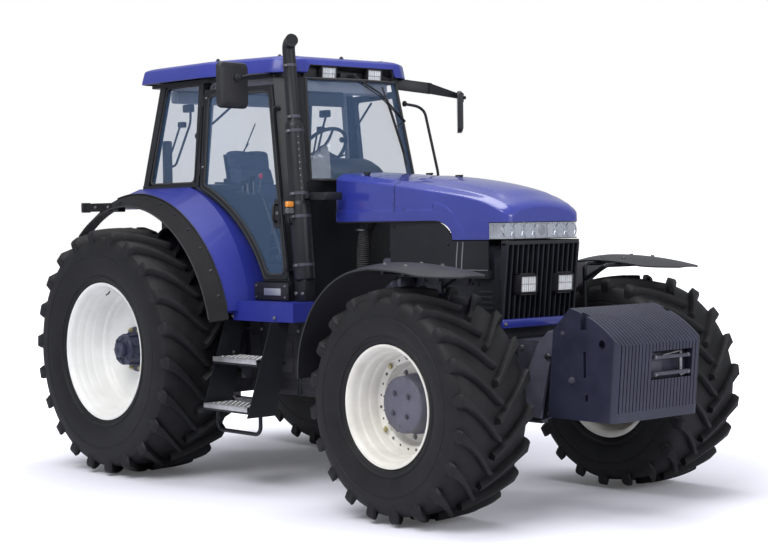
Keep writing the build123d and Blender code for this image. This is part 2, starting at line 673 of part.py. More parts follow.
def front_post_ring(z, nose):
    """Corners of the right front post at height z, from the windscreen to the door."""
    sx, sy = nose
    px, py, pz = door_point(door_front_u(z) + DOOR_GAP, z)
    return [(sx, -sy, z), (sx - 10, -sy - 18, z), (px, py, z), (px - 8, py + 46, z), (sx - 55, -sy + 5, z)]


def post_nose(z):
    """Where the front post starts at its front: the windscreen's corner, or below it."""
    if z >= SCREEN_LOW_Z:
        return screen_corner(z)
    x, half_w = SCREEN_LOW
    return x, half_w + 30 * (SCREEN_LOW_Z - z) / (SCREEN_LOW_Z - SILL_TOP_Z + DOOR_GAP)


def make_cab_frame():
    pw = POST_W
    b_post = post(B_POST_X - pw, B_POST_X - pw + b_post_lean(RAIL_LOW_Z), CAB_HALF_W, pw - DOOR_GAP, 60)
    c_post = post(C_POST_X, C_POST_TOP_X, CAB_HALF_W, pw, 60)
    foot_z = SILL_TOP_Z - DOOR_GAP
    knee = front_post_ring(SCREEN_LOW_Z, post_nose(SCREEN_LOW_Z))
    a_post = prism(knee, front_post_ring(RAIL_LOW_Z, post_nose(RAIL_LOW_Z)))
    a_foot = prism(front_post_ring(foot_z, post_nose(foot_z)), knee)
    sill = prism_plan([(FIREWALL_X, 560), (FIREWALL_X, 700), (SILL_REAR_X, 735), (SILL_REAR_X, 560)],
                      SILL_LOW_Z, SILL_TOP_Z - DOOR_GAP)
    top_rail = roof_ring(RAIL_LOW_Z, ROOF_LOW_Z, RAIL_INSET, 60)
    back_bar = box(C_POST_X, C_POST_X + 40, -CAB_HALF_W + 1, CAB_HALF_W - 1, SHELF_Z, SHELF_Z + 22)
    back_wall = box(C_POST_X, C_POST_X + 40, -FENDER_INNER_Y + 6, FENDER_INNER_Y - 6, SILL_LOW_Z + 10, SHELF_Z)
    side_bar = box(C_POST_X, B_POST_X - DOOR_GAP, -CAB_HALF_W, -CAB_HALF_W + 50, SHELF_Z, SHELF_Z + 22)
    firewall = box(FIREWALL_X - 60, FIREWALL_X, -560, 560, SILL_LOW_Z, SCREEN_LOW_Z)
    frame = top_rail + back_bar + back_wall + firewall
    for z in HINGE_HEIGHTS:
        b_post += hinge_barrel(z - 34, z - RUN) + hinge_leaf(z - 34, z - RUN, -30, 0)
    for piece in (b_post, c_post, a_post, a_foot, sill, side_bar):
        for solid in both_sides(piece):
            frame += solid
    px, pz = HOOD_PIVOT
    for side in (-1, 1):
        y = side * (HOOD_EAR_Y - 21)
        arm = side_plate([(FIREWALL_X - 1, pz - 110), (px + 14, pz - 70), (px + 14, pz + 13), (px - 14, pz + 13),
                          (px - 30, pz - 30), (FIREWALL_X - 1, pz - 30)], y - 8, y + 8)
        frame += arm + cyl_y(px, pz, 10, y - 8, y + 8 + 34) if side > 0 else arm + cyl_y(px, pz, 10, y - 42, y + 8)
    return frame


def prism_plan(points, z0, z1):
    """An upright prism on the right side, from x, half width corners."""
    low = [(x, -y, z0) for x, y in points]
    high = [(x, -y, z1) for x, y in points]
    return prism(low, high)


def roof_plan(inset):
    """Half of the roof's plan: x and half width corners from the back to the front."""
    return [(ROOF_REAR_X + inset, 745 - inset), (ROOF_REAR_X + 60 + inset * 0.4, 800 - inset),
            (-1010, 800 - inset), (-330, 640 - inset), (ROOF_FRONT_X - inset, 492 - inset * 0.4)]


def plan_face(points, z):
    loop = [(x, -y, z) for x, y in points] + [(x, y, z) for x, y in reversed(points)]
    return make_face(Polyline(*loop, close=True))


def roof_ring(z0, z1, inset, width):
    ring = extrude(plan_face(roof_plan(inset), z0), z1 - z0, dir=(0, 0, 1))
    return ring - extrude(plan_face(roof_plan(inset + width), z0), z1 - z0, dir=(0, 0, 1))


def make_roof():
    low = loft([plan_face(roof_plan(0), ROOF_LOW_Z), plan_face(roof_plan(22), ROOF_TOP_Z - 30)], ruled=True)
    cap = loft([plan_face(roof_plan(22), ROOF_TOP_Z - 30), plan_face(roof_plan(110), ROOF_TOP_Z)], ruled=True)
    lamp_bay = box(ROOF_FRONT_X - LAMP_BAY_DEPTH, ROOF_FRONT_X + 30, -LAMP_BAY_HALF, LAMP_BAY_HALF,
                   ROOF_LOW_Z - 1, LAMP_BAY_Z)
    return low + cap - lamp_bay


# Doors lie in a leaning plane through the B post

HINGE = Vector(B_POST_X, -CAB_HALF_W, SHELF_Z)
DOOR_RUN = Vector(796, 150, 0).normalized()
DOOR_UP = Vector(0, TUMBLEHOME, 1).normalized()
DOOR_PLANE = Plane(origin=HINGE, x_dir=DOOR_RUN, z_dir=DOOR_RUN.cross(DOOR_UP))


def door_front_u(z):
    """Distance from the hinge line to the door's front edge at height z."""
    return 927 - (z - 1447) * (927 - 697) / (2739 - 1447)


def door_point(u, z):
    """The point of the door's outer plane at distance u from the hinge and height z."""
    v = (z - HINGE.Z) / DOOR_PLANE.y_dir.Z
    p = HINGE + DOOR_PLANE.x_dir * u + DOOR_PLANE.y_dir * v
    return (p.X, p.Y, p.Z)


def hinge_barrel(z0, z1):
    """A round hinge knuckle on the right door's hinge line, between two heights."""
    k = DOOR_PLANE.y_dir.Z
    v0, v1 = (z0 - HINGE.Z) / k, (z1 - HINGE.Z) / k
    return DOOR_PLANE * Pos(0, (v0 + v1) / 2, 0) * Rot(90, 0, 0) * Cylinder(HINGE_R, v1 - v0)


def hinge_leaf(z0, z1, u0, u1):
    k = DOOR_PLANE.y_dir.Z
    v0, v1 = (z0 - HINGE.Z) / k, (z1 - HINGE.Z) / k
    return DOOR_PLANE * Pos((u0 + u1) / 2, (v0 + v1) / 2, -4) * Box(u1 - u0, v1 - v0, 8)


def door_outline(inset):
    """The door's face: upright at the hinge, raked in front, arched over the fender."""
    k = DOOR_PLANE.y_dir.Z
    top = (DOOR_TOP_Z - HINGE.Z) / k - inset
    low = (SILL_TOP_Z - HINGE.Z) / k + inset
    arch = DOOR_ARCH_R + inset

    def front(v):
        return door_front_u(HINGE.Z + v * k) - inset

    def arch_v(u):
        dx = B_POST_X + u * DOOR_PLANE.x_dir.X - X_REAR
        return (REAR_R + sqrt(max(arch ** 2 - dx ** 2, 0)) - HINGE.Z) / k

    u_low = (X_REAR + sqrt(arch ** 2 - (HINGE.Z + low * k - REAR_R) ** 2) - B_POST_X) / DOOR_PLANE.x_dir.X
    u0 = DOOR_GAP + inset
    u_mid = (u0 + u_low) * 0.62
    lines = [
        Line((u0, top), (front(top), top)), Line((front(top), top), (front(low), low)),
        Line((front(low), low), (u_low, low)),
        ThreePointArc((u_low, low), (u_mid, arch_v(u_mid)), (u0, arch_v(u0))),
        Line((u0, arch_v(u0)), (u0, top))]
    return make_face(lines)


def make_door():
    frame = extrude(DOOR_PLANE * door_outline(0), -DOOR_T)
    frame -= extrude(DOOR_PLANE * door_outline(46), -DOOR_T)
    for z in HINGE_HEIGHTS:
        frame += hinge_barrel(z, z + 50) + hinge_leaf(z, z + 50, 0, DOOR_GAP + 20)
    glass = extrude(DOOR_PLANE.offset(-10) * door_outline(46 + FIT), -GLASS_T)
    return frame, glass


def screen_face(z):
    x, w = screen_corner(z)
    w -= 4
    outer = ThreePointArc((x, -w, z), (x + SCREEN_BOW, 0, z), (x, w, z))
    inner = ThreePointArc((x - GLASS_T, w, z), (x + SCREEN_BOW - GLASS_T, 0, z), (x - GLASS_T, -w, z))
    return make_face([outer, Line(outer @ 1, inner @ 0), inner, Line(inner @ 1, outer @ 0)])


def make_cab_glass():
    screen = loft([screen_face(SCREEN_LOW_Z), screen_face(RAIL_LOW_Z - 1)], ruled=True)
    z0, z1 = SHELF_Z + 22, RAIL_LOW_Z - 1
    g = GLASS_T
    low, high = [], []
    rear_low, rear_high = [], []
    lean = (C_POST_TOP_X - C_POST_X) / (RAIL_LOW_Z - SHELF_Z)
    for ring, rear, z in ((low, rear_low, z0), (high, rear_high, z1)):
        front = B_POST_X - POST_W + b_post_lean(z)
        y = lean_in(CAB_HALF_W, z) - 26
        back = C_POST_X + (z - SHELF_Z) * lean
        ring += [(back + POST_W, -y, z), (front, -y, z), (front, -y + g, z), (back + POST_W, -y + g, z)]
        w = y + 26 - 60
        rear += [(back + 20, -w, z), (back + 20 + g, -w, z), (back + 20 + g, w, z), (back + 20, w, z)]
    return [screen, prism(rear_low, rear_high)] + both_sides(prism(low, high))


def make_cab_floor():
    z0, z1 = SILL_LOW_Z + 10, SILL_LOW_Z + 50
    front = box(-561, FIREWALL_X - 60, -559, 559, z0, z1)
    back = box(C_POST_X + 40, -561, -FENDER_INNER_Y + 6, FENDER_INNER_Y - 6, z0, z1)
    return front + back


def make_dashboard():
    """Binnacle against the firewall, with the steering column leaning out of it."""
    x = FIREWALL_X - 60
    body = side_plate([(x, 1355), (x, 2225), (-330, 2330), (-430, 2330), (-470, 2250), (-330, 2100),
                       (-330, 1355)], -260, 260)
    return body + rod((-400, 0, 2260), COLUMN_TOP, 28)


def make_steering_wheel():
    plane = Plane(origin=COLUMN_TOP, z_dir=Vector(-sin(radians(WHEEL_TILT)), 0, cos(radians(WHEEL_TILT))))
    ring = plane.offset(18) * Torus(200, 14)
    spokes = plane.offset(18) * Box(392, 36, 12) + plane.offset(18) * Box(36, 392, 12)
    boss = extrude(plane.offset(0.5) * Circle(45), 34)
    return ring + spokes + boss


def make_seat():
    base = box(-1330, -1010, -170, 170, SILL_LOW_Z + 50, 1740)
    cushion = box(-1380, -900, -250, 250, 1740, 1880)
    return base, cushion


def make_seat_back():
    return prism([(-1400, -240, 1880), (-1290, -240, 1880), (-1290, 240, 1880), (-1400, 240, 1880)],
                 [(-1560, -190, 2440), (-1470, -190, 2440), (-1470, 190, 2440), (-1560, 190, 2440)])


# Rear fenders, platforms, flares

def arc_about(xc, zc, r, deg0, deg1, y):
    mid = (deg0 + deg1) / 2
    pts = [(xc + r * cos(radians(a)), y, zc + r * sin(radians(a))) for a in (deg0, mid, deg1)]
    return ThreePointArc(*pts)


def fender_profile(y, ridge):
    """Upright face of the fender at y: a ridge curve or an arc about the axle, closed below."""
    if ridge:
        top = [ThreePointArc((-437, y, SILL_LOW_Z - 66), (-735, y, 1885), (-1150, y, SHELF_Z)),
               Line((-1150, y, SHELF_Z), (-1815, y, SHELF_Z))]
    else:
        first = arc_about(X_REAR, REAR_R, FENDER_EDGE_R, 16, 69, y)
        second = arc_about(X_REAR, REAR_R, FENDER_EDGE_R, 69, 104, y)
        top = [first, second]
    start, end = top[0] @ 0, top[1] @ 1
    low_r = FENDER_ARCH_R - 60
    close_to = arc_about(X_REAR, REAR_R, low_r, 104, 16, y)
    return make_face(top + [Line(end, close_to @ 0), close_to, Line(close_to @ 1, start)])


def make_rear_fender():
    inner = fender_profile(-CAB_HALF_W - 2, True)
    outer = fender_profile(-FENDER_EDGE_Y, False)
    slope = loft([inner, outer], ruled=True)
    deck = extrude(inner, CAB_HALF_W + 2 - FENDER_INNER_Y, dir=(0, 1, 0))
    body = slope + deck
    arch = cyl_y(X_REAR, REAR_R, FENDER_ARCH_R, -FENDER_EDGE_Y - 5, -FENDER_INNER_Y - 14)
    body -= arch
    platform = prism_plan([(130, 560), (130, 860), (-60, 905), (-500, 905), (-500, 560)],
                          PLATFORM_LOW_Z, SILL_LOW_Z)
    return body + platform


def make_flare():
    """Right rubber edge outside the painted fender, with the bar that carries the tail lamp."""
    t = 12
    y0 = FENDER_EDGE_Y
    prof = [(FENDER_EDGE_R, y0), (FLARE_EDGE_R + t, FLARE_EDGE_Y), (FLARE_EDGE_R, FLARE_EDGE_Y),
            (FENDER_ARCH_R, y0)]
    face = make_face(Polyline(*[(r, -y, 0) for r, y in prof], close=True))
    back_up = Axis((0, 0, 0), (0, -1, 0))
    ring = Rot(0, -FLARE_FROM, 0) * revolve(face, back_up, FLARE_TO - FLARE_FROM)
    bar = box(-2176, -1666, -1100, -1040, 1962, 2026)
    return Pos(X_REAR, 0, REAR_R) * ring + bar


def make_steps():
    """Right-hand ladder: two leaning sides, two treads and a hanging loop."""
    x0, x1 = STEP_X - STEP_HALF, STEP_X + STEP_HALF
    slope = (STEP_LOW_Y - STEP_Y) / (TREAD_TOP_Z - TREAD_LOW_Z)

    def y_at(z):
        return -STEP_Y - (TREAD_TOP_Z - z) * slope

    ladder = None
    for z in (TREAD_LOW_Z, TREAD_TOP_Z):
        y = y_at(z)
        tread = box(x0, x1, y - STEP_W / 2, y + STEP_W / 2, z - 14, z + 14)
        ladder = tread if ladder is None else ladder + tread
    z0, z1 = TREAD_LOW_Z - 40, PLATFORM_LOW_Z
    for x in (x0 - 8, x1):
        half0, half1 = STEP_W / 2, 80
        ladder += prism([(x, y_at(z0) - half0, z0), (x + 8, y_at(z0) - half0, z0),
                         (x + 8, y_at(z0) + half0, z0), (x, y_at(z0) + half0, z0)],
                        [(x, y_at(z1) - half1, z1), (x + 8, y_at(z1) - half1, z1),
                         (x + 8, y_at(z1) + half1, z1), (x, y_at(z1) + half1, z1)])
    y = y_at(z0)
    ladder += rail([(x0 + 10, y, z0 + 30), (x0 + 10, y, LOOP_Z), (x1 - 10, y, LOOP_Z), (x1 - 10, y, z0 + 30)], 60, 14)
    return ladder


def make_tank():
    tank = box(-540, 420, -720, -GEAR_HALF_W - 60, 640, PLATFORM_LOW_Z)
    tank = fillet(tank.edges().filter_by(Axis.X).group_by(Axis.Z)[0], 60)
    return tank + box(-400, 140, -GEAR_HALF_W - 61, -GEAR_HALF_W, 900, 960)


def make_exhaust():
    """Muffler and stack leaning back with the front post, with a turned out tip."""
    low, top = Vector(7, -EXHAUST_Y, SILL_TOP_Z), Vector(-122, -EXHAUST_Y, 2931)

    def along(z):
        return low + (top - low) * ((z - low.Z) / (top.Z - low.Z))

    stack = rod(along(low.Z), along(2000), 75) + rod(along(2000), along(2560), 65)
    stack += rod(along(2560), along(3000), 47)
    bend = along(3000)
    stack += rail([bend, along(3110), bend + Vector(70, -30, EXHAUST_TIP_Z - 3060)], 60, 46)
    foot = box(-50, 60, -EXHAUST_Y - 50, -EXHAUST_Y + 50, SILL_LOW_Z, SILL_TOP_Z + 20)
    brace = box(-75, -50, -EXHAUST_Y + 40, -561, 2035, 2065)
    return stack + foot + brace


def make_mirrors():
    """Each head on an arm from the front corner of the roof rails."""
    plate = box(-424, -376, -606, -560, RAIL_LOW_Z + 1, ROOF_LOW_Z - 2)
    plate -= roof_ring(RAIL_LOW_Z - 5, ROOF_LOW_Z + 5, RAIL_INSET, 60)
    right_arm = rod((-400, -600, 2912), (-300, -1010, 2895), 15) + plate
    right_head = box(-322, -278, -1143, -891, 2667, 2976)
    left_arm = mirror(plate, about=Plane.XZ) + rod((-400, 600, 2911), (-300, 877, 2877), 18) + rod((-300, 877, 2877), (-300, 1200, 2800), 16)
    left_head = Pos(-300, 1180, 2698) * Rot(0, 0, -49) * Box(44, 250, 320)
    return right_arm + right_head, left_arm + left_head


def make_hand_rails():
    """Grab rails on the front posts, ahead of the doors, each end on a round foot."""
    feet = []
    bends = []
    for z in GRAB_RAIL_Z:
        ring = front_post_ring(z, post_nose(z))
        edge, front = Vector(*ring[2]), Vector(*ring[1])
        along = (front - edge).normalized()
        out = Vector(along.Y, -along.X, 0)
        feet.append(edge + along * 22 + out * (GRAB_FOOT_R + RUN))
        bends.append(edge + Vector(26, -48, 0))
    right = rail([feet[0], bends[0], bends[1], feet[1]], 30, 11)
    for foot in feet:
        right += Pos(foot.X, foot.Y, foot.Z) * Sphere(GRAB_FOOT_R)
    return both_sides(right)


def make_lamps():
    """Two lamps under the roof's brow, two in the grille, markers and tail lamps."""
    lamps = []
    x1 = ROOF_FRONT_X - 4
    for side in (-1, 1):
        y = side * 219
        lamps.append(box(x1 - 60, x1, y - 68, y + 68, RAIL_LOW_Z - 12, LAMP_BAY_Z))
        y = side * LAMP_Y
        lamps.append(box(1610, 1690, y - LAMP_HALF, y + LAMP_HALF, LAMP_Z - LAMP_HALF, LAMP_Z + LAMP_HALF))
        y = side * 1070
        lamps.append(box(-2196, -2176, y - 30, y + 30, 1962, 2026))
    return lamps


# Linkages

def make_front_linkage():
    """Arms from the chassis pivots to the block, one body with it."""
    px, pz = HITCH_PIVOT
    arm = side_plate([(px - 50, pz - 45), (px + 60, pz - 55), (BALLAST_REAR_X, BALLAST_LOW_Z), (2121.5, 1158),
                      (2060, 1165), (1960, 1030), (px + 50, pz + 60), (px - 50, pz + 45)],
                     -HITCH_ARM_Y - HITCH_ARM_T / 2, -HITCH_ARM_Y + HITCH_ARM_T / 2)
    arm -= cyl_y(px, pz, 27 + RUN, -500, 0)
    cross = cyl_y(2000, 760, 35, -HITCH_ARM_Y + HITCH_ARM_T / 2, HITCH_ARM_Y - HITCH_ARM_T / 2)
    both = both_sides(arm)
    return both[0] + both[1] + cross


def make_ballast():
    """Cast block with a finned top and nose, a pocket in the nose and recesses in its sides."""
    nose = HALF_REACH
    width = 2 * BALLAST_HALF_W
    outline = [Line((BALLAST_REAR_X, 0, BALLAST_LOW_Z), (2123, 0, 1173)),
               Line((2123, 0, 1173), (2262, 0, 1312)),
               ThreePointArc((2262, 0, 1312), (2505, 0, 1210), (nose, 0, 1095)),
               Line((nose, 0, 1095), (nose - 40, 0, BALLAST_LOW_Z)),
               Line((nose - 40, 0, BALLAST_LOW_Z), (BALLAST_REAR_X, 0, BALLAST_LOW_Z))]
    block = Pos(0, -BALLAST_HALF_W, 0) * extrude(make_face(outline), width, dir=(0, 1, 0))
    corners = [e for e in block.edges() if nose - 30 < e.center().X < nose - 10 and abs(e.center().Y) > 1]
    block = fillet(corners, BALLAST_CORNER_R)
    # The fins stand between grooves cut into the top and the nose
    skin = block - Pos(-FIN_H, 0, -FIN_H) * block
    pitch = width / BALLAST_FINS
    grooves = []
    for i in range(1, BALLAST_FINS):
        y = -BALLAST_HALF_W + i * pitch
        grooves.append(box(2262, nose + 1, y - FIN_GAP / 2, y + FIN_GAP / 2, BALLAST_LOW_Z + 60, 1400))
    block -= skin & Compound(grooves)
    y0, y1, z0, z1 = NOSE_POCKET
    block -= box(nose - NOSE_POCKET_D - 20, nose + 1, y0, y1, z0, z1)
    # The recesses in both sides: an upright notch at the top, an eye and two narrow slots
    x_eye, z_eye = BALLAST_EYE
    for y in (-BALLAST_HALF_W, BALLAST_HALF_W):
        ya, yb = y - SIDE_RECESS_D, y + SIDE_RECESS_D
        block -= box(2348, 2402, ya, yb, 1183, 1400) + cyl_y(x_eye, z_eye, 34, ya, yb)
        block -= box(2369, 2389, ya, yb, 891, 1050) + box(2382, 2402, ya, yb, 748, 788)
    return block


def link_point(share):
    """Centre line of the left lower link, from its pivot (0) to its ball (1)."""
    px, pz = LINK_PIVOT
    start = Vector(px, LINK_PIVOT_Y, pz)
    end = Vector(-HALF_REACH + LINK_BALL_R, LINK_END_Y, LINK_END_Z)
    return start + (end - start) * share


def make_lower_links():
    p, q = link_point(0), link_point(1)
    link = rod(p, q, 24)
    link -= cyl_y(q.X, q.Z, LINK_BALL_R + 1, q.Y - 60, q.Y - 25) + cyl_y(q.X, q.Z, LINK_BALL_R + 1, q.Y + 25, q.Y + 60)
    link += cyl_y(q.X, q.Z, LINK_BALL_R, q.Y - 25, q.Y + 25) + cyl_y(p.X, p.Z, 45, p.Y - 30, p.Y + 25)
    link -= cyl_y(q.X, q.Z, LINK_BORE_R, q.Y - 60, q.Y + 60)
    link -= cyl_y(p.X, p.Z, 16 + RUN, p.Y - 60, p.Y + 60)
    mid = link_point(0.24)
    tie = cyl_y(mid.X, mid.Z, 14, -mid.Y, mid.Y)
    left, right = both_sides(link)
    return left + right + tie


def make_lift_arms():
    """Two arms on the rockshaft's ends, one body."""
    x, z = LIFT_PIVOT
    end_x = x - LIFT_ARM_LEN
    arm = side_plate([(x + 62, z - 40), (x + 62, z + 40), (x + 20, z + 66), (end_x - 34, z + 36),
                      (end_x - 34, z - 34), (x, z - 62)], LIFT_ARM_Y - 14, LIFT_ARM_Y + 14)
    arm -= cyl_y(x, z, 40 + RUN, 300, 500)
    arm += cyl_y(end_x, z, 14, LIFT_ARM_Y - 14, LIFT_ARM_Y + 46)
    return both_sides(arm)


def make_lift_rods():
    """Rods from the lift arms' ends down beside the lower links."""
    x, z = LIFT_PIVOT[0] - LIFT_ARM_LEN, LIFT_PIVOT[1]
    y0 = LIFT_ARM_Y + 19
    low = link_point(LIFT_SHARE)
    eye = cyl_y(x, z, 32, y0, y0 + 22) - cyl_y(x, z, 14 + RUN, y0 - 5, y0 + 40)
    body = rod((x, y0 + 11, z - 26), (low.X, y0 + 11, low.Z + 26), 15)
    foot = cyl_y(low.X, low.Z, 32, y0, y0 + 22)
    return both_sides(eye + body + foot)


def make_top_link():
    """Stowed upright: a threaded tube with an eye at each end."""
    x, z = TOP_PIVOT
    lean = radians(TOP_LINK_LEAN)
    end = Vector(x - TOP_LINK_LEN * sin(lean), 0, z + TOP_LINK_LEN * cos(lean))
    link = rod((x, 0, z), end, 17) + rod(Vector(x, 0, z) + (end - Vector(x, 0, z)) * 0.25,
                                         Vector(x, 0, z) + (end - Vector(x, 0, z)) * 0.75, 24)
    link += cyl_y(x, z, 34, -24, 24) + cyl_y(end.X, end.Z, 38, -25.5, 25.5)
    link -= cyl_y(x, z, 13 + RUN, -60, 60) + cyl_y(end.X, end.Z, TOP_LINK_BORE_R, -60, 60)
    return link


def make_drawbar():
    """Drawbar in its hanger under the rear housing."""
    hole_x = DRAWBAR_HOLE_X
    bar = box(hole_x - 60, -1300, -45, 45, DRAWBAR_Z - 20, DRAWBAR_Z + 20)
    bar -= cyl_z(hole_x, 0, DRAWBAR_BORE_R, 300, 600)
    hanger = box(-1840, -1780, -110, 110, DRAWBAR_Z - 45, 660) - box(
        -1850, -1770, -47, 47, DRAWBAR_Z - 20, DRAWBAR_Z + 20)
    hanger -= box(-1850, -1770, -60, 60, DRAWBAR_Z + 50, 640)
    front = box(-1380, -1300, -60, 60, DRAWBAR_Z - 20, 660)
    return bar + hanger + front


def make_all():
    os.makedirs("parts", exist_ok=True)
    rim_l, tyre_l, hub_l = make_rear_wheel()
    for name, solid in (("rim", rim_l), ("tyre", tyre_l), ("hub", hub_l)):
        save(name + "_rear_left", solid)
        save(name + "_rear_right", mirror(solid, about=Plane.XZ))
    rim_l, tyre_l, hub_l = make_front_wheel()
    for name, solid in (("rim", rim_l), ("tyre", tyre_l), ("hub", hub_l)):
        save(name + "_front_left", solid)
        save(name + "_front_right", mirror(solid, about=Plane.XZ))
    knuckle = make_knuckle()
    save("knuckle_right", knuckle)
    save("knuckle_left", mirror(knuckle, about=Plane.XZ))
    fender = make_front_fender()
    stay = make_fender_stay()
    save("front_fender_right", fender)
    save("front_fender_left", mirror(fender, about=Plane.XZ))
    save("fender_stay_right", stay)
    save("fender_stay_left", mirror(stay, about=Plane.XZ))
    save("transmission", make_transmission())
    save("front_frame", make_front_frame())
    save("engine_block", *make_engine())
    save("radiator", make_radiator())
    save("front_axle", make_front_axle())
    save("hood", make_hood())
    save("headlamps", make_headlamps())
    save("grille", make_grille())
    save("side_panels", *both_sides(make_side_panels()))
    save("cab_frame", make_cab_frame())
    save("cab_roof", make_roof())
    save("cab_floor", make_cab_floor())
    save("cab_glass", *make_cab_glass())
    door, glass = make_door()
    save("door_right", door)
    save("door_left", mirror(door, about=Plane.XZ))
    save("door_glass_right", glass)
    save("door_glass_left", mirror(glass, about=Plane.XZ))
    save("dashboard", make_dashboard())
    save("steering_wheel", make_steering_wheel())
    base, cushion = make_seat()
    save("seat_base", base)
    save("seat", cushion, make_seat_back())
    save("rear_fenders", *both_sides(make_rear_fender()))
    save("fender_flares", *both_sides(make_flare()))
    save("steps", *both_sides(make_steps()))
    save("fuel_tanks", *both_sides(make_tank()))
    save("exhaust", make_exhaust())
    save("mirrors", *make_mirrors())
    save("work_lamps", *make_lamps())
    save("front_linkage", make_front_linkage())
    save("ballast_block", make_ballast())
    save("lower_links", make_lower_links())
    save("lift_arms", *make_lift_arms())
    save("lift_rods", *make_lift_rods())
    save("top_link", make_top_link())
    save("drawbar", make_drawbar())
    save("hand_rails", *make_hand_rails())


make_all()
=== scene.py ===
from math import cos, pi, radians, sin, sqrt

import bmesh
import bpy
from mathutils import Matrix, Vector


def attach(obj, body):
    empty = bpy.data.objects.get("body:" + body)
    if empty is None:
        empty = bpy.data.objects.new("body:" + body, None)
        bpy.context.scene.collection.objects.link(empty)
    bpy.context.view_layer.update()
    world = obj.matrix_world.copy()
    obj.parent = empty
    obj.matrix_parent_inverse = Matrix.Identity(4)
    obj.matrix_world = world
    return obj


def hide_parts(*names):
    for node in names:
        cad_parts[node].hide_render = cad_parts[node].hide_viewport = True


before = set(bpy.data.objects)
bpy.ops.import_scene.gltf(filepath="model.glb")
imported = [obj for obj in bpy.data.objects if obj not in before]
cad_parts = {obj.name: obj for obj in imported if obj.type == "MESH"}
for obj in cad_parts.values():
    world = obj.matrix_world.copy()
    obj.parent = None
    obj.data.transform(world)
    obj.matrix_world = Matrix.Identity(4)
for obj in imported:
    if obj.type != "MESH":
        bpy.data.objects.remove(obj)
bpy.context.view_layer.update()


# Camera at the photograph's place

CAMERA_AT = Vector((9.245, -8.119, 1.875))
LOOK_AT = Vector((0.1095, 0.0, 1.477))
ROLL = radians(-0.843)
LENS, SENSOR = 79.47, 36


def make_camera():
    back = (CAMERA_AT - LOOK_AT).normalized()
    right = Vector((0, 0, 1)).cross(back).normalized()
    up = back.cross(right)
    r = right * cos(ROLL) + up * sin(ROLL)
    u = up * cos(ROLL) - right * sin(ROLL)
    data = bpy.data.cameras.new("camera")
    data.lens = LENS
    data.sensor_width = SENSOR
    data.clip_end = 200
    cam = bpy.data.objects.new("camera", data)
    m = Matrix((r, u, back)).transposed().to_4x4()
    m.translation = CAMERA_AT
    cam.matrix_world = m
    bpy.context.scene.collection.objects.link(cam)
    bpy.context.scene.camera = cam


# Materials

def new_material(name):
    mat = bpy.data.materials.new(name)
    mat.use_nodes = True
    return mat, mat.node_tree.nodes, mat.node_tree.links


def wash(nodes, links, low, high, scale, detail=4.0):
    """A colour that drifts between two near ones."""
    noise = nodes.new("ShaderNodeTexNoise")
    noise.inputs["Scale"].default_value = scale
    noise.inputs["Detail"].default_value = detail
    coord = nodes.new("ShaderNodeTexCoord").outputs["Object"]
    links.new(coord, noise.inputs["Vector"])
    ramp = nodes.new("ShaderNodeValToRGB")
    ramp.color_ramp.elements[0].position = 0.35
    ramp.color_ramp.elements[1].position = 0.65
    ramp.color_ramp.elements[0].color = (*low, 1)
    ramp.color_ramp.elements[1].color = (*high, 1)
    links.new(noise.outputs["Fac"], ramp.inputs["Fac"])
    return ramp.outputs["Color"], noise


def grain(nodes, links, bsdf, scale, strength, distance, kind="noise"):
    """Fine bumps over the surface."""
    coord = nodes.new("ShaderNodeTexCoord").outputs["Object"]
    if kind == "noise":
        tex = nodes.new("ShaderNodeTexNoise")
        tex.inputs["Detail"].default_value = 3.0
        out = tex.outputs["Fac"]
    else:
        tex = nodes.new("ShaderNodeTexVoronoi")
        out = tex.outputs["Distance"]
    tex.inputs["Scale"].default_value = scale
    links.new(coord, tex.inputs["Vector"])
    bump = nodes.new("ShaderNodeBump")
    bump.inputs["Strength"].default_value = strength
    bump.inputs["Distance"].default_value = distance
    links.new(out, bump.inputs["Height"])
    links.new(bump.outputs["Normal"], bsdf.inputs["Normal"])


def rough_range(nodes, links, noise, bsdf, low, high):
    span = nodes.new("ShaderNodeMapRange")
    span.inputs["To Min"].default_value = low
    span.inputs["To Max"].default_value = high
    links.new(noise.outputs["Fac"], span.inputs["Value"])
    links.new(span.outputs["Result"], bsdf.inputs["Roughness"])


def surface(name, low, high, rough, scale=3.0, bump=(260, 0.1, 0.002), metal=0.0, coat=0.0, kind="noise",
            specular=0.5):
    """A finish whose colour and roughness drift a little over a fine grain."""
    mat, nodes, links = new_material(name)
    bsdf = nodes["Principled BSDF"]
    colour, noise = wash(nodes, links, low, high, scale)
    links.new(colour, bsdf.inputs["Base Color"])
    rough_range(nodes, links, noise, bsdf, rough[0], rough[1])
    grain(nodes, links, bsdf, *bump, kind=kind)
    bsdf.inputs["Metallic"].default_value = metal
    bsdf.inputs["Coat Weight"].default_value = coat
    bsdf.inputs["Coat Roughness"].default_value = 0.06
    bsdf.inputs["Specular IOR Level"].default_value = specular
    return mat


def clear(name, colour, alpha, rough=0.03):
    mat, nodes, links = new_material(name)
    bsdf = nodes["Principled BSDF"]
    low = tuple(c * 0.94 for c in colour)
    tint, noise = wash(nodes, links, low, colour, 1.5, 2.0)
    links.new(tint, bsdf.inputs["Base Color"])
    rough_range(nodes, links, noise, bsdf, rough, rough * 2)
    bsdf.inputs["Alpha"].default_value = alpha
    bsdf.inputs["Specular IOR Level"].default_value = 1.0
    bsdf.inputs["Coat Weight"].default_value = 0.6
    return mat


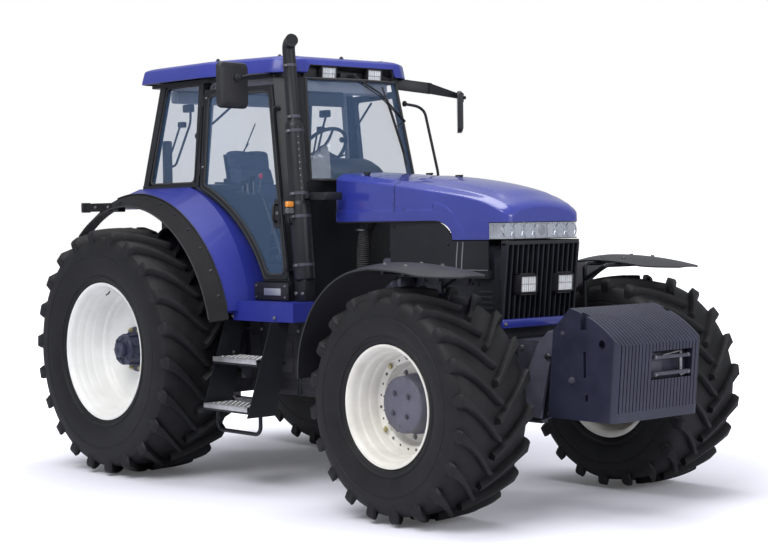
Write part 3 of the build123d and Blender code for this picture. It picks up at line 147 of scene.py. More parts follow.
M = {
    "paint": surface("paint", (0.020, 0.030, 0.235), (0.026, 0.037, 0.27), (0.24, 0.32), 2.0,
                     (420, 0.03, 0.0008), coat=0.8),
    "matte_paint": surface("matte_paint", (0.016, 0.023, 0.20), (0.021, 0.029, 0.23), (0.42, 0.5), 2.0,
                           (420, 0.03, 0.0008), coat=0.1, specular=0.25),
    "roof_paint": surface("roof_paint", (0.019, 0.028, 0.215), (0.025, 0.035, 0.25), (0.36, 0.44), 2.0,
                          (420, 0.03, 0.0008), coat=0.25, specular=0.35),
    "navy": surface("navy", (0.024, 0.028, 0.055), (0.034, 0.038, 0.072), (0.38, 0.5), 6.0,
                    (300, 0.12, 0.001)),
    "white": surface("white", (0.74, 0.74, 0.71), (0.8, 0.8, 0.78), (0.3, 0.42), 5.0, (300, 0.05, 0.001),
                     coat=0.3),
    "cream": surface("cream", (0.66, 0.64, 0.58), (0.74, 0.72, 0.66), (0.35, 0.5), 7.0, (240, 0.1, 0.001)),
    "tyre": surface("tyre", (0.004, 0.004, 0.005), (0.009, 0.009, 0.0105), (0.5, 0.7), 9.0,
                    (170, 0.35, 0.003), specular=0.3),
    "plastic": surface("plastic", (0.011, 0.011, 0.014), (0.018, 0.018, 0.023), (0.42, 0.55), 6.0,
                       (700, 0.35, 0.0008), kind="cells", specular=0.4),
    "frame": surface("frame", (0.009, 0.010, 0.013), (0.014, 0.015, 0.019), (0.34, 0.46), 4.0,
                     (320, 0.1, 0.001),
                     specular=0.3),
    "cast": surface("cast", (0.035, 0.036, 0.052), (0.055, 0.056, 0.078), (0.45, 0.62), 12.0,
                    (140, 0.4, 0.003)),
    "ballast": surface("ballast", (0.016, 0.018, 0.035), (0.023, 0.025, 0.046), (0.34, 0.46), 7.0,
                       (220, 0.25, 0.002), specular=0.4),
    "axle": surface("axle", (0.075, 0.075, 0.105), (0.10, 0.10, 0.135), (0.4, 0.55), 9.0,
                    (180, 0.25, 0.002)),
    "steel": surface("steel", (0.16, 0.16, 0.17), (0.27, 0.27, 0.28), (0.32, 0.5), 20.0, (300, 0.2, 0.001),
                     metal=0.9),
    "tread": surface("tread", (0.42, 0.42, 0.43), (0.55, 0.55, 0.56), (0.3, 0.45), 20.0, (300, 0.2, 0.001),
                     metal=0.8),
    "mat": surface("mat", (0.02, 0.02, 0.022), (0.03, 0.03, 0.032), (0.7, 0.85), 9.0, (200, 0.4, 0.002)),
    "cloth": surface("cloth", (0.060, 0.075, 0.14), (0.085, 0.10, 0.18), (0.8, 0.95), 60.0,
                     (900, 0.6, 0.0015)),
    "liner": surface("liner", (0.30, 0.31, 0.34), (0.36, 0.37, 0.40), (0.7, 0.85), 9.0, (500, 0.3, 0.001)),
    "brass": surface("brass", (0.38, 0.34, 0.18), (0.5, 0.45, 0.25), (0.3, 0.45), 30.0, (300, 0.2, 0.001),
                     metal=0.7),
    "chrome": surface("chrome", (0.72, 0.74, 0.78), (0.80, 0.82, 0.86), (0.05, 0.12), 6.0,
                      (90, 0.02, 0.001), metal=1.0),
    "silver": surface("silver", (0.40, 0.41, 0.45), (0.48, 0.49, 0.53), (0.25, 0.35), 6.0,
                      (300, 0.05, 0.001), metal=0.6),
    "bulb": surface("bulb", (0.86, 0.87, 0.88), (0.92, 0.93, 0.94), (0.2, 0.3), 6.0, (300, 0.05, 0.001)),
    "slat": surface("slat", (0.010, 0.011, 0.016), (0.015, 0.016, 0.023), (0.42, 0.55), 6.0,
                    (500, 0.2, 0.001),
                    specular=0.3),
    # Pale grey for the pressed lines on the black side panels: a painted highlight of their lit creases,
    # not the panels' own colour
    "edge": surface("edge", (0.16, 0.165, 0.19), (0.2, 0.205, 0.23), (0.3, 0.4), 8.0, (300, 0.05, 0.001)),
    "rubber": surface("rubber", (0.005, 0.005, 0.006), (0.010, 0.010, 0.011), (0.6, 0.75), 9.0,
                      (300, 0.3, 0.001), specular=0.2),
    "mirror": surface("mirror", (0.62, 0.66, 0.7), (0.7, 0.74, 0.78), (0.03, 0.06), 2.0, (50, 0.01, 0.0005),
                      metal=1.0),
    "glass": clear("glass", (0.10, 0.20, 0.38), 0.16),
    "lamp": clear("lamp", (0.50, 0.54, 0.60), 0.2),
    "lens": clear("lens", (0.55, 0.58, 0.62), 0.18, 0.06),
    "amber": clear("amber", (0.9, 0.32, 0.03), 0.9, 0.12),
    "red": clear("red", (0.6, 0.02, 0.02), 0.9, 0.12),
}

NODE_MATERIALS = {
    "paint": ("hood", "cab_roof"),
    "matte_paint": ("rear_fenders",),
    "white": ("rim_rear_left", "rim_rear_right", "rim_front_left", "rim_front_right"),
    "navy": ("hub_rear_left", "hub_rear_right"),
    "axle": ("hub_front_left", "hub_front_right", "front_axle", "knuckle_left", "knuckle_right"),
    "tyre": ("tyre_rear_left", "tyre_rear_right", "tyre_front_left", "tyre_front_right"),
    "plastic": ("front_fender_left", "front_fender_right", "grille", "dashboard",
                "steering_wheel", "seat_base", "fuel_tanks", "mirrors"),
    "frame": ("side_panels", "cab_frame", "door_left", "door_right", "fender_stay_left",
              "fender_stay_right", "steps", "exhaust",
              "hand_rails", "lift_arms", "front_linkage"),
    "cast": ("transmission", "front_frame", "engine_block", "radiator"),
    "ballast": ("ballast_block",),
    "steel": ("lower_links", "lift_rods", "top_link", "drawbar"),
    "mat": ("cab_floor",),
    "rubber": ("fender_flares",),
    "cloth": ("seat",),
    "glass": ("cab_glass", "door_glass_left", "door_glass_right"),
    "lamp": ("headlamps", "work_lamps"),
}


# Edge radius of the solids that stay in view
EASED = {
    0.004: ("side_panels", "fuel_tanks", "engine_block", "transmission", "front_frame", "radiator"),
    0.0025: ("ballast_block", "front_linkage", "steps", "fender_stay_left", "fender_stay_right",
             "knuckle_left",
             "knuckle_right", "front_axle", "lift_arms", "lower_links", "drawbar"),
}


def dress_nodes():
    """Finishes for the solids, and eased edges for those that stay in view."""
    for key, names in NODE_MATERIALS.items():
        for name in names:
            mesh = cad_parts[name].data
            mesh.materials.clear()
            mesh.materials.append(M[key])
    for width, names in EASED.items():
        for name in names:
            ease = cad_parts[name].modifiers.new("ease", "BEVEL")
            ease.width = width
            ease.segments = 2
            ease.limit_method = "ANGLE"
            ease.angle_limit = radians(35)
            ease.harden_normals = True


# Floor, backdrop and lamps

GLOW_NEAR, GLOW_FAR = 2.0, 5.5
GLOW_LEAST = 0.06


def seen_by_camera(nodes, links):
    """One where the camera sees a point, straight or through glass, and else nought."""
    path = nodes.new("ShaderNodeLightPath")
    either = nodes.new("ShaderNodeMath")
    either.operation = "MAXIMUM"
    links.new(path.outputs["Is Camera Ray"], either.inputs[0])
    links.new(path.outputs["Is Transmission Ray"], either.inputs[1])
    return either.outputs[0]


def make_stage():
    bpy.ops.mesh.primitive_plane_add(size=120, location=(0, 0, 0))
    floor = bpy.context.object
    floor.name = "floor"
    mat, nodes, links = new_material("floor")
    bsdf = nodes["Principled BSDF"]
    bsdf.inputs["Base Color"].default_value = (0.74, 0.74, 0.82, 1)
    bsdf.inputs["Roughness"].default_value = 0.7
    bsdf.inputs["Specular IOR Level"].default_value = 0.1
    # Away from the object the camera sees plain white; close by it sees the shadow
    glow = nodes.new("ShaderNodeEmission")
    glow.inputs["Color"].default_value = (1, 1, 1, 1)
    coord = nodes.new("ShaderNodeTexCoord").outputs["Object"]
    length = nodes.new("ShaderNodeVectorMath")
    length.operation = "LENGTH"
    links.new(coord, length.inputs[0])
    far = nodes.new("ShaderNodeMapRange")
    far.interpolation_type = "SMOOTHSTEP"
    far.inputs["From Min"].default_value = GLOW_NEAR
    far.inputs["From Max"].default_value = GLOW_FAR
    far.inputs["To Min"].default_value = GLOW_LEAST
    far.inputs["To Max"].default_value = 1.0
    links.new(length.outputs["Value"], far.inputs["Value"])
    seen = nodes.new("ShaderNodeMath")
    seen.operation = "MULTIPLY"
    links.new(seen_by_camera(nodes, links), seen.inputs[0])
    links.new(far.outputs["Result"], seen.inputs[1])
    links.new(seen.outputs[0], glow.inputs["Strength"])
    both = nodes.new("ShaderNodeAddShader")
    links.new(bsdf.outputs[0], both.inputs[0])
    links.new(glow.outputs[0], both.inputs[1])
    links.new(both.outputs[0], nodes["Material Output"].inputs["Surface"])
    floor.data.materials.append(mat)
    floor.select_set(False)
    world = bpy.data.worlds.new("world")
    bpy.context.scene.world = world
    world.use_nodes = True
    nodes, links = world.node_tree.nodes, world.node_tree.links
    light = nodes["Background"]
    light.inputs["Color"].default_value = (0.93, 0.95, 1.0, 1)
    light.inputs["Strength"].default_value = 0.55
    seen = nodes.new("ShaderNodeBackground")
    seen.inputs["Color"].default_value = (1, 1, 1, 1)
    seen.inputs["Strength"].default_value = 1.0
    mix = nodes.new("ShaderNodeMixShader")
    links.new(seen_by_camera(nodes, links), mix.inputs[0])
    links.new(light.outputs[0], mix.inputs[1])
    links.new(seen.outputs[0], mix.inputs[2])
    links.new(mix.outputs[0], nodes["World Output"].inputs["Surface"])


def area(name, at, to, size, power):
    data = bpy.data.lights.new(name, "AREA")
    data.shape = "RECTANGLE"
    data.size, data.size_y = size
    data.energy = power
    lamp = bpy.data.objects.new(name, data)
    lamp.location = at
    lamp.rotation_euler = (Vector(to) - Vector(at)).to_track_quat("-Z", "Y").to_euler()
    bpy.context.scene.collection.objects.link(lamp)


def make_lights():
    area("key", (3.0, -7.5, 9.0), (0, 0, 1.2), (7, 5), 900)
    area("top", (-1.0, 0.5, 11.0), (0, 0, 1.0), (9, 6), 700)
    area("front", (11.0, 1.0, 4.5), (1.0, 0, 1.0), (5, 4), 320)


# Mesh building

UP, DOWN, FRONT, BACK = (0, 0, 1), (0, 0, -1), (1, 0, 0), (-1, 0, 0)


class Build:
    """Gathers shapes with their materials, and makes one piece of them."""

    def __init__(self):
        self.verts, self.faces, self.slots, self.keys = [], [], [], []

    def add(self, verts, faces, key):
        if key not in self.keys:
            self.keys.append(key)
        start, slot = len(self.verts), self.keys.index(key)
        self.verts += [tuple(v) for v in verts]
        self.faces += [[i + start for i in f] for f in faces]
        self.slots += [slot] * len(faces)
        return self

    def rings(self, rings, key, close=True, caps=(True, True)):
        """Skins a row of point loops of equal length."""
        n = len(rings[0])
        verts = [v for ring in rings for v in ring]
        faces = []
        for k in range(len(rings) - 1):
            for i in range(n if close else n - 1):
                j = (i + 1) % n
                faces.append([k * n + i, k * n + j, (k + 1) * n + j, (k + 1) * n + i])
        if caps[0]:
            faces.append(list(reversed(range(n))))
        if caps[1]:
            faces.append([(len(rings) - 1) * n + i for i in range(n)])
        return self.add(verts, faces, key)

    def box(self, lo, hi, key, bevel=0.004, turn=None):
        """A box with eased edges; turn is a matrix applied to it."""
        bm = bmesh.new()
        bmesh.ops.create_cube(bm, size=1)
        for v in bm.verts:
            v.co = Vector([lo[i] + (v.co[i] + 0.5) * (hi[i] - lo[i]) for i in range(3)])
        if bevel:
            bmesh.ops.bevel(bm, geom=bm.edges[:], offset=bevel, segments=2, profile=0.6, affect="EDGES")
        if turn is not None:
            bm.transform(turn)
        bm.verts.index_update()
        self.add([v.co.copy() for v in bm.verts], [[v.index for v in f.verts] for f in bm.faces], key)
        bm.free()
        return self

    def slab(self, x0, x1, y, half, z0, z1, key, bevel=0.004, turn=None):
        """A box from x0 to x1 and z0 to z1, half as wide on either side of y."""
        return self.box((x0, y - half, z0), (x1, y + half, z1), key, bevel, turn)

    def lathe(self, profile, at, axis, key, sides=48, closed=False):
        """Revolves (radius, distance) points about an axis through a point."""
        axis = Vector(axis).normalized()
        side = axis.orthogonal().normalized()
        up = axis.cross(side)
        rings = []
        for r, d in profile:
            base = Vector(at) + axis * d
            ring = []
            for i in range(sides):
                a = 2 * pi * i / sides
                ring.append(base + (side * cos(a) + up * sin(a)) * max(r, 1e-5))
            rings.append(ring)
        if closed:
            rings.append(rings[0])
            return self.rings(rings, key, caps=(False, False))
        return self.rings(rings, key)

    def disc(self, at, axis, r, depth, key, sides=20):
        """A short round bar with eased ends, from a point along an axis."""
        e = min(0.003, r * 0.4, depth * 0.4)
        return self.lathe([(r - e, 0), (r, e), (r, depth - e), (r - e, depth)], at, axis, key, sides)

    def bolt(self, at, axis, r, key="steel", washer=True):
        """A hexagon head on a washer."""
        h = r * 0.75
        if washer:
            self.disc(at, axis, r * 1.25, r * 0.28, key, 14)
        return self.lathe([(r * 0.98, 0), (r, h * 0.8), (r * 0.82, h), (r * 0.3, h * 1.02)],
                          Vector(at) + Vector(axis).normalized() * r * 0.2, axis, key, 6)

    def tube(self, points, r, key, sides=12, caps=True):
        """A round bar along points; r may be one radius or one for each point."""
        pts = [Vector(p) for p in points]
        radii = r if isinstance(r, (list, tuple)) else [r] * len(pts)
        tangents = []
        for i in range(len(pts)):
            a = pts[max(i - 1, 0)]
            b = pts[min(i + 1, len(pts) - 1)]
            tangents.append((b - a).normalized())
        normal = tangents[0].orthogonal().normalized()
        rings = []
        for p, t, radius in zip(pts, tangents, radii):
            normal = (normal - t * normal.dot(t)).normalized()
            other = t.cross(normal)
            rings.append([p + (normal * cos(2 * pi * i / sides) + other * sin(2 * pi * i / sides)) * radius
                          for i in range(sides)])
        return self.rings(rings, key, caps=(caps, caps))

    def plate(self, points, direction, key):
        """A flat polygon pushed along a vector."""
        d = Vector(direction)
        return self.rings([[Vector(p) for p in points], [Vector(p) + d for p in points]], key)

    def piece(self, name, body, slot, smooth=32):
        """Makes the object with its materials and lets it ride on its body; the slot is not used."""
        mesh = bpy.data.meshes.new(name)
        mesh.from_pydata(self.verts, [], self.faces)
        mesh.polygons.foreach_set("material_index", self.slots)
        for key in self.keys:
            mesh.materials.append(M[key])
        bm = bmesh.new()
        bm.from_mesh(mesh)
        bmesh.ops.recalc_face_normals(bm, faces=bm.faces)
        bm.to_mesh(mesh)
        bm.free()
        mesh.polygons.foreach_set("use_smooth", [True] * len(mesh.polygons))
        mesh.set_sharp_from_angle(angle=radians(smooth))
        obj = bpy.data.objects.new(name, mesh)
        bpy.context.scene.collection.objects.link(obj)
        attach(obj, body)
        return obj


def rounded(points, r, steps=5):
    """A line of points with its corners turned to arcs of about that radius."""
    pts = [Vector(p) for p in points]
    out = [pts[0]]
    for a, b, c in zip(pts, pts[1:], pts[2:]):
        u, v = (a - b), (c - b)
        cut = min(r, u.length * 0.49, v.length * 0.49)
        p, q = b + u.normalized() * cut, b + v.normalized() * cut
        for i in range(steps + 1):
            t = i / steps
            out.append(p * (1 - t) ** 2 + b * 2 * t * (1 - t) + q * t ** 2)
    out.append(pts[-1])
    return out


SIDES = (("left", 1), ("right", -1))
AXLE = {"rear": (-1.555, 0.92), "front": (1.555, 0.73)}
REAR_X, REAR_Z = AXLE["rear"]
FRONT_X, FRONT_Z = AXLE["front"]


def wheel_body(end, side):
    return "wheel_%s_%s" % (end, side)


def circle(n, r, x, y, z, shift=0.0):
    """n points round an axis that runs across the machine."""
    return [(x + r * cos(a), y, z + r * sin(a)) for a in [2 * pi * (i + shift) / n for i in range(n)]]


def valve(b, end, sg, angle, spots, r):
    """A tyre valve through (radius, distance) spots at an angle of the rim."""
    x, z = AXLE[end]
    a = radians(angle)
    b.tube([(x + rad * cos(a), sg * y, z + rad * sin(a)) for rad, y in spots], r, "plastic", 10)


# Tyres and wheels

LUG_EASE = 0.006
TYRES = {
    "rear": dict(r=0.92, y=1.03, half=0.34, seat=0.4838, flange=0.512, rim_out=1.329, rim_w=0.598, lugs=22,
                 lug=0.052,
                 lead=0.31, width=1.0),
    "front": dict(r=0.73, y=1.017, half=0.306, seat=0.3538, flange=0.382, rim_out=1.286, rim_w=0.54,
                  lugs=20,
                  lug=0.046, lead=0.36, width=0.9),
}


def tyre_profile(t):
    """Outer carcass: radius and distance from the tyre's middle plane, from the middle to the bead."""
    r, h, half, fl = t["r"], t["lug"], t["half"], t["flange"]
    tread = r - h
    span = tread - fl
    out = [(tread, 0.0), (tread - 0.001, half * 0.3), (tread - 0.004, half * 0.6),
           (tread - 0.012, half * 0.82), (tread - 0.03, half * 0.925), (tread - span * 0.18, half * 0.975),
           (tread - span * 0.33, half * 0.997)]
    ridge = tread - span * 0.40
    out += [(ridge, half - 0.0005), (ridge - 0.004, half - 0.004), (ridge - 0.012, half - 0.004),
            (ridge - 0.016, half - 0.001)]
    out += [(tread - span * 0.58, half * 0.992), (tread - span * 0.74, half * 0.965)]
    guard = fl + 0.042
    out += [(guard + 0.012, half * 0.93), (guard + 0.006, half * 0.945), (guard - 0.006, half * 0.942),
            (guard - 0.012, half * 0.905), (fl + 0.014, half * 0.885),
            (fl + 0.002, t["rim_out"] - t["y"] - 0.012), (t["seat"] + 0.0005, t["rim_out"] - t["y"] - 0.02)]
    return out


def make_tyre(end, side, sg):
    t = TYRES[end]
    x, z = AXLE[end]
    at = (x, sg * t["y"], z)
    half_profile = tyre_profile(t)
    rim_in = t["y"] - t["rim_out"] + t["rim_w"]
    inner = [(r, -d) for r, d in half_profile[1:-2]] + [(t["flange"] + 0.002, -rim_in + 0.012),
                                                        (t["seat"] + 0.0005, -rim_in + 0.02)]
    b = Build()
    b.lathe(list(reversed(inner)) + half_profile, at, (0, sg, 0), "tyre", 132, closed=True)
    lugs(b, t, at, sg, 1, 0.0)
    lugs(b, t, at, sg, -1, 0.5)
    name = "tyre_" + end + "_" + side
    piece = b.piece("dressed_" + name, wheel_body(end, side), "tyre", smooth=34)
    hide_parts(name)


def lugs(b, t, at, sg, half_side, stagger):
    """Chevron bars from the middle of the tread over the shoulder and a little way down the wall."""
    r, h, half, k = t["r"], t["lug"], t["half"], t["width"]
    tread = r - h
    wall = half - 0.001
    # distance from the middle, top radius, foot radius, top and foot half widths, top and foot distances
    rows = [
        (-0.012, r - 0.0005, tread - 0.012, 0.017, 0.030, 0),
        (half * 0.06, r - 0.0005, tread - 0.012, 0.020, 0.034, 0),
        (half * 0.25, r - 0.001, tread - 0.012, 0.020, 0.035, 0),
        (half * 0.45, r - 0.003, tread - 0.013, 0.022, 0.037, 0),
        (half * 0.62, r - 0.006, tread - 0.015, 0.025, 0.041, 0),
        (half * 0.76, r - 0.010, tread - 0.02, 0.031, 0.049, 0),
        (half * 0.87, r - 0.015, tread - 0.035, 0.037, 0.055, 0),
        (half * 0.945, r - 0.021, tread - 0.055, 0.040, 0.057, 0),
        (half * 0.985, r - 0.036, tread - 0.075, 0.039, 0.053, 1),
        (wall, r - 0.064, tread - 0.085, 0.034, 0.046, 1),
        (wall, r - 0.068, tread - 0.09, 0.027, 0.040, 1),
        (wall - 0.003, r - 0.115, tread - 0.1, 0.019, 0.030, 1),
        (wall - 0.008, r - 0.135, tread - 0.105, 0.012, 0.020, 1),
    ]
    pitch = 2 * pi / t["lugs"]
    start = pi - pitch / 4 - t["lead"] / 2
    edge = half * 0.93
    for n in range(t["lugs"]):
        phi0 = start + (n + stagger) * pitch
        rings = []
        for d, top, foot, wt, wb, down in rows:
            share = min(max(d / edge, 0), 1)
            phi = phi0 + t["lead"] * ((1 - share) ** 1.18 - 0.5)
            foot_d = d - (0.022 if down else 0)
            mid_d = d - (0.012 if down else 0)
            low = (foot + top) / 2 if down else tread + 0.004 - (r - 0.0005 - top) * 0.6
            points = [(foot, foot_d, -wb), (low, mid_d, -wb * 0.94),
                      (top - LUG_EASE, d - 0.001, -wt - 0.002), (top, d - 0.002, -wt + LUG_EASE * 0.8),
                      (top, d - 0.002, wt - LUG_EASE * 0.8), (top - LUG_EASE, d - 0.001, wt + 0.002),
                      (low, mid_d, wb * 0.94), (foot, foot_d, wb)]
            ring = []
            for rad, dist, w in points:
                a = phi + w * k / r
                ring.append((at[0] + rad * sin(a), at[1] + sg * half_side * dist, at[2] + rad * cos(a)))
            rings.append(ring)
        b.rings(rings, "tyre")


def make_rear_rim(side, sg):
    x, z = AXLE["rear"]
    b = Build()
    barrel = [(0.511, 1.3285), (0.512, 1.322), (0.506, 1.317), (0.497, 1.3165), (0.490, 1.310),
              (0.4838, 1.295), (0.4838, 0.765), (0.490, 0.750), (0.497, 0.744), (0.506, 0.743),
              (0.512, 0.738), (0.511, 0.7315), (0.498, 0.7312), (0.486, 0.738), (0.476, 0.755),
              (0.470, 0.79), (0.468, 0.985), (0.120, 0.9885), (0.120, 1.0098), (0.385, 1.0098),
              (0.400, 1.014), (0.408, 1.024), (0.412, 1.040), (0.420, 1.052), (0.430, 1.056),
              (0.437, 1.064), (0.439, 1.130), (0.447, 1.142), (0.450, 1.150), (0.451, 1.190),
              (0.459, 1.202), (0.462, 1.210), (0.463, 1.250), (0.471, 1.262), (0.474, 1.270),
              (0.475, 1.296), (0.484, 1.312), (0.494, 1.3245), (0.503, 1.3288)]
    b.lathe(barrel, (x, 0, z), (0, sg, 0), "white", 120, closed=True)
    for at in circle(8, 0.152, x, sg * 1.036, z, 0.5):
        b.bolt(at, (0, sg, 0), 0.0165, "brass")
        b.tube([at, (at[0], sg * 1.062, at[2])], 0.008, "brass", 10)
    valve(b, "rear", sg, 104, ((0.452, 1.19), (0.438, 1.20), (0.425, 1.225)), 0.0055)
    piece = b.piece("dressed_rim_rear_" + side, wheel_body("rear", side), "rim_paint", smooth=40)
    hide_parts("rim_rear_" + side)


def make_rear_hub(side, sg):
    """The wedge hub on its bar axle: ribbed barrel, ring of cap screws and the axle's end."""
    x, z = AXLE["rear"]
    b = Build()
    shape = [(0.0001, 0.701), (0.055, 0.701), (0.055, 0.915), (0.100, 0.940), (0.105, 1.0104),
             (0.170, 1.0104), (0.170, 1.030), (0.164, 1.036), (0.124, 1.040), (0.116, 1.048),
             (0.112, 1.075), (0.107, 1.120), (0.113, 1.128), (0.113, 1.150), (0.108, 1.157), (0.076, 1.157),
             (0.072, 1.150), (0.060, 1.148), (0.055, 1.150), (0.055, 1.190), (0.050, 1.197), (0.020, 1.197),
             (0.018, 1.190), (0.0001, 1.188)]
    b.lathe(shape, (x, 0, z), (0, sg, 0), "navy", 60)
    for i in range(8):
        a = 2 * pi * i / 8
        c, s = cos(a), sin(a)
        b.bolt((x + 0.092 * c, sg * 1.156, z + 0.092 * s), (0, sg, 0), 0.0125, "navy")
        a += pi / 8
        c, s = cos(a), sin(a)
        lo = Matrix.Translation((x + 0.112 * c, sg * 1.085, z + 0.112 * s)) @ Matrix.Rotation(-a, 4, "Y")
        b.box((-0.012, -0.042, -0.011), (0.012, 0.042, 0.011), "navy", 0.004, lo)
    piece = b.piece("dressed_hub_rear_" + side, wheel_body("rear", side), "hub_paint", smooth=38)
    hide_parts("hub_rear_" + side)


def make_front_rim(side, sg):
    x, z = AXLE["front"]
    b = Build()
    barrel = [(0.381, 1.2855), (0.382, 1.279), (0.376, 1.274), (0.367, 1.2735), (0.360, 1.267),
              (0.3538, 1.252), (0.3538, 0.780), (0.360, 0.765), (0.367, 0.759), (0.376, 0.758),
              (0.382, 0.753), (0.381, 0.7465), (0.368, 0.7462), (0.356, 0.753), (0.346, 0.770),
              (0.340, 0.80), (0.338, 1.040), (0.330, 1.046), (0.300, 1.046), (0.292, 1.040),
              (0.262, 0.9985), (0.190, 0.9985), (0.190, 1.0198), (0.236, 1.0198), (0.244, 1.026),
              (0.258, 1.060), (0.262, 1.068), (0.270, 1.072), (0.300, 1.072), (0.306, 1.076),
              (0.309, 1.084), (0.311, 1.130), (0.320, 1.140), (0.324, 1.148), (0.326, 1.200),
              (0.335, 1.212), (0.342, 1.222), (0.345, 1.250), (0.354, 1.268), (0.364, 1.2815),
              (0.373, 1.2858)]
    b.lathe(barrel, (x, 0, z), (0, sg, 0), "cream", 108, closed=True)
    for i, at in enumerate(circle(24, 0.284, x, sg * 1.0716, z, 0.5)):
        if i % 6 == 2:
            base = Matrix.Translation(at) @ Matrix.Rotation(-2 * pi * (i + 0.5) / 24, 4, "Y")
            b.box((-0.026, -0.004, -0.032), (0.022, 0.016, 0.032), "cream", 0.005, base)
            b.bolt((at[0], sg * 1.086, at[2]), (0, sg, 0), 0.015, "brass")
        elif i % 3 == 0:
            b.bolt(at, (0, sg, 0), 0.0085, "steel")
        else:
            b.disc(at, (0, sg, 0), 0.0075, 0.0015, "plastic", 12)
    for at in circle(10, 0.212, x, sg * 1.0196, z, 0.3):
        b.bolt(at, (0, sg, 0), 0.014, "steel")
    valve(b, "front", sg, 80, ((0.33, 1.14), (0.316, 1.15), (0.306, 1.172)), 0.005)
    piece = b.piece("dressed_rim_front_" + side, wheel_body("front", side), "rim_paint", smooth=40)
    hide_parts("rim_front_" + side)


def make_front_hub(side, sg):
    """The final drive's drum with its four cupped screws and a drain plug."""
    x, z = AXLE["front"]
    b = Build()
    shape = [(0.0001, 0.9055), (0.160, 0.9055), (0.160, 0.972), (0.225, 0.972), (0.225, 0.9976),
             (0.188, 0.9976), (0.188, 1.052), (0.180, 1.060), (0.178, 1.066), (0.178, 1.138),
             (0.174, 1.148), (0.166, 1.154), (0.150, 1.157), (0.146, 1.160), (0.060, 1.161),
             (0.0001, 1.161)]
    b.lathe(shape, (x, 0, z), (0, sg, 0), "axle", 72)
    for i in range(4):
        a = radians(38) + 2 * pi * i / 4
        at = (x + 0.088 * cos(a), sg * 1.1605, z + 0.088 * sin(a))
        b.lathe([(0.024, 0), (0.026, 0.002), (0.021, 0.0035), (0.019, 0.001)], at, (0, sg, 0), "axle", 24)
        b.disc((at[0], sg * 1.1600, at[2]), (0, sg, 0), 0.0185, 0.0022, "cast", 20)
        b.bolt((at[0], sg * 1.1610, at[2]), (0, sg, 0), 0.010, "cast", washer=False)
    b.bolt((x - 0.02, sg * 1.1605, z - 0.135), (0, sg, 0), 0.009, "steel")
    for i in range(12):
        a = 2 * pi * (i + 0.5) / 12
        b.bolt((x + 0.182 * cos(a) * 0.93, sg * 1.1535, z + 0.182 * sin(a) * 0.93), (0, sg, 0), 0.0045,
               "axle")
    piece = b.piece("dressed_hub_front_" + side, wheel_body("front", side), "axle_paint", smooth=38)
    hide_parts("hub_front_" + side)


def make_wheels():
    for side, sg in SIDES:
        for end in ("rear", "front"):
            make_tyre(end, side, sg)
        make_rear_rim(side, sg)
        make_rear_hub(side, sg)
        make_front_rim(side, sg)
        make_front_hub(side, sg)


# Hood: a creased skin lofted between stations

# x, half width, shoulder height, crown height
HOOD_STATIONS = (
    (0.095, 0.425, 2.185, 2.210),
    (0.560, 0.420, 2.138, 2.178),
    (1.100, 0.405, 2.072, 2.130),
    (1.480, 0.378, 2.005, 2.058),
    (1.690, 0.352, 1.924, 1.962),
)
HOOD_NOSE_X = 1.69
NOSE_R = 0.062
SIDE_EDGE_Z = 1.858
STEP_X = 1.24
STEP_R = 0.175
HOOD_LOW_Z = 1.73
HOOD_SKIN = 0.010
BAND_X = 1.545
BAND_TOP_Z = 1.842
SEAM_X = 0.69
STRIP_LIFT = 0.0008


def smooth_step(a, b, t):
    t = min(max((t - a) / (b - a), 0), 1)
    return t * t * (3 - 2 * t)


def hood_at(x):
    """Half width, shoulder height and crown height of the hood at x, on a smooth curve."""
    s = HOOD_STATIONS
    k = max(i for i in range(len(s) - 1) if x >= s[i][0] or i == 0)
    p = [s[max(k - 1, 0)], s[k], s[k + 1], s[min(k + 2, len(s) - 1)]]
    t = (x - p[1][0]) / (p[2][0] - p[1][0])
    out = []
    for c in (1, 2, 3):
        span = p[2][0] - p[1][0]
        m1 = (p[2][c] - p[0][c]) / max(p[2][0] - p[0][0], 1e-6) * span
        m2 = (p[3][c] - p[1][c]) / max(p[3][0] - p[1][0], 1e-6) * span
        out.append((2 * t ** 3 - 3 * t ** 2 + 1) * p[1][c] + (t ** 3 - 2 * t ** 2 + t) * m1
                   + (-2 * t ** 3 + 3 * t ** 2) * p[2][c] + (t ** 3 - t ** 2) * m2)
    return out


def nose_inset(x):
    """How far the corner between the hood's side and its nose has turned in at x."""
    over = x - (HOOD_NOSE_X - NOSE_R)
    return 0 if over <= 0 else NOSE_R - sqrt(max(NOSE_R ** 2 - over ** 2, 0))


def hood_low(x):
    """Height of the skin's lower edge at x."""
    if x > BAND_X:
        return BAND_TOP_Z + 0.0005
    turn = STEP_X - STEP_R
    if x < turn:
        return SIDE_EDGE_Z
    if x < STEP_X:
        share = (x - turn) / STEP_R
        return HOOD_LOW_Z + (SIDE_EDGE_Z - HOOD_LOW_Z) * sqrt(1 - share ** 2.4)
    return HOOD_LOW_Z


def lip(x, z):
    """How far the side stands out near its lower edge, along a pressed line."""
    turn = STEP_X - STEP_R
    if x < turn:
        d = z - SIDE_EDGE_Z
    elif z < SIDE_EDGE_Z and x > turn:
        cx, cz = turn, HOOD_LOW_Z
        d = sqrt(((x - cx) / STEP_R) ** 2 + ((z - cz) / (SIDE_EDGE_Z - HOOD_LOW_Z)) ** 2) - 1
        d *= 0.13
    else:
        d = sqrt((x - turn) ** 2 + (z - HOOD_LOW_Z) ** 2) - STEP_R
    return 0.006 * (1 - smooth_step(0.066, 0.080, d))


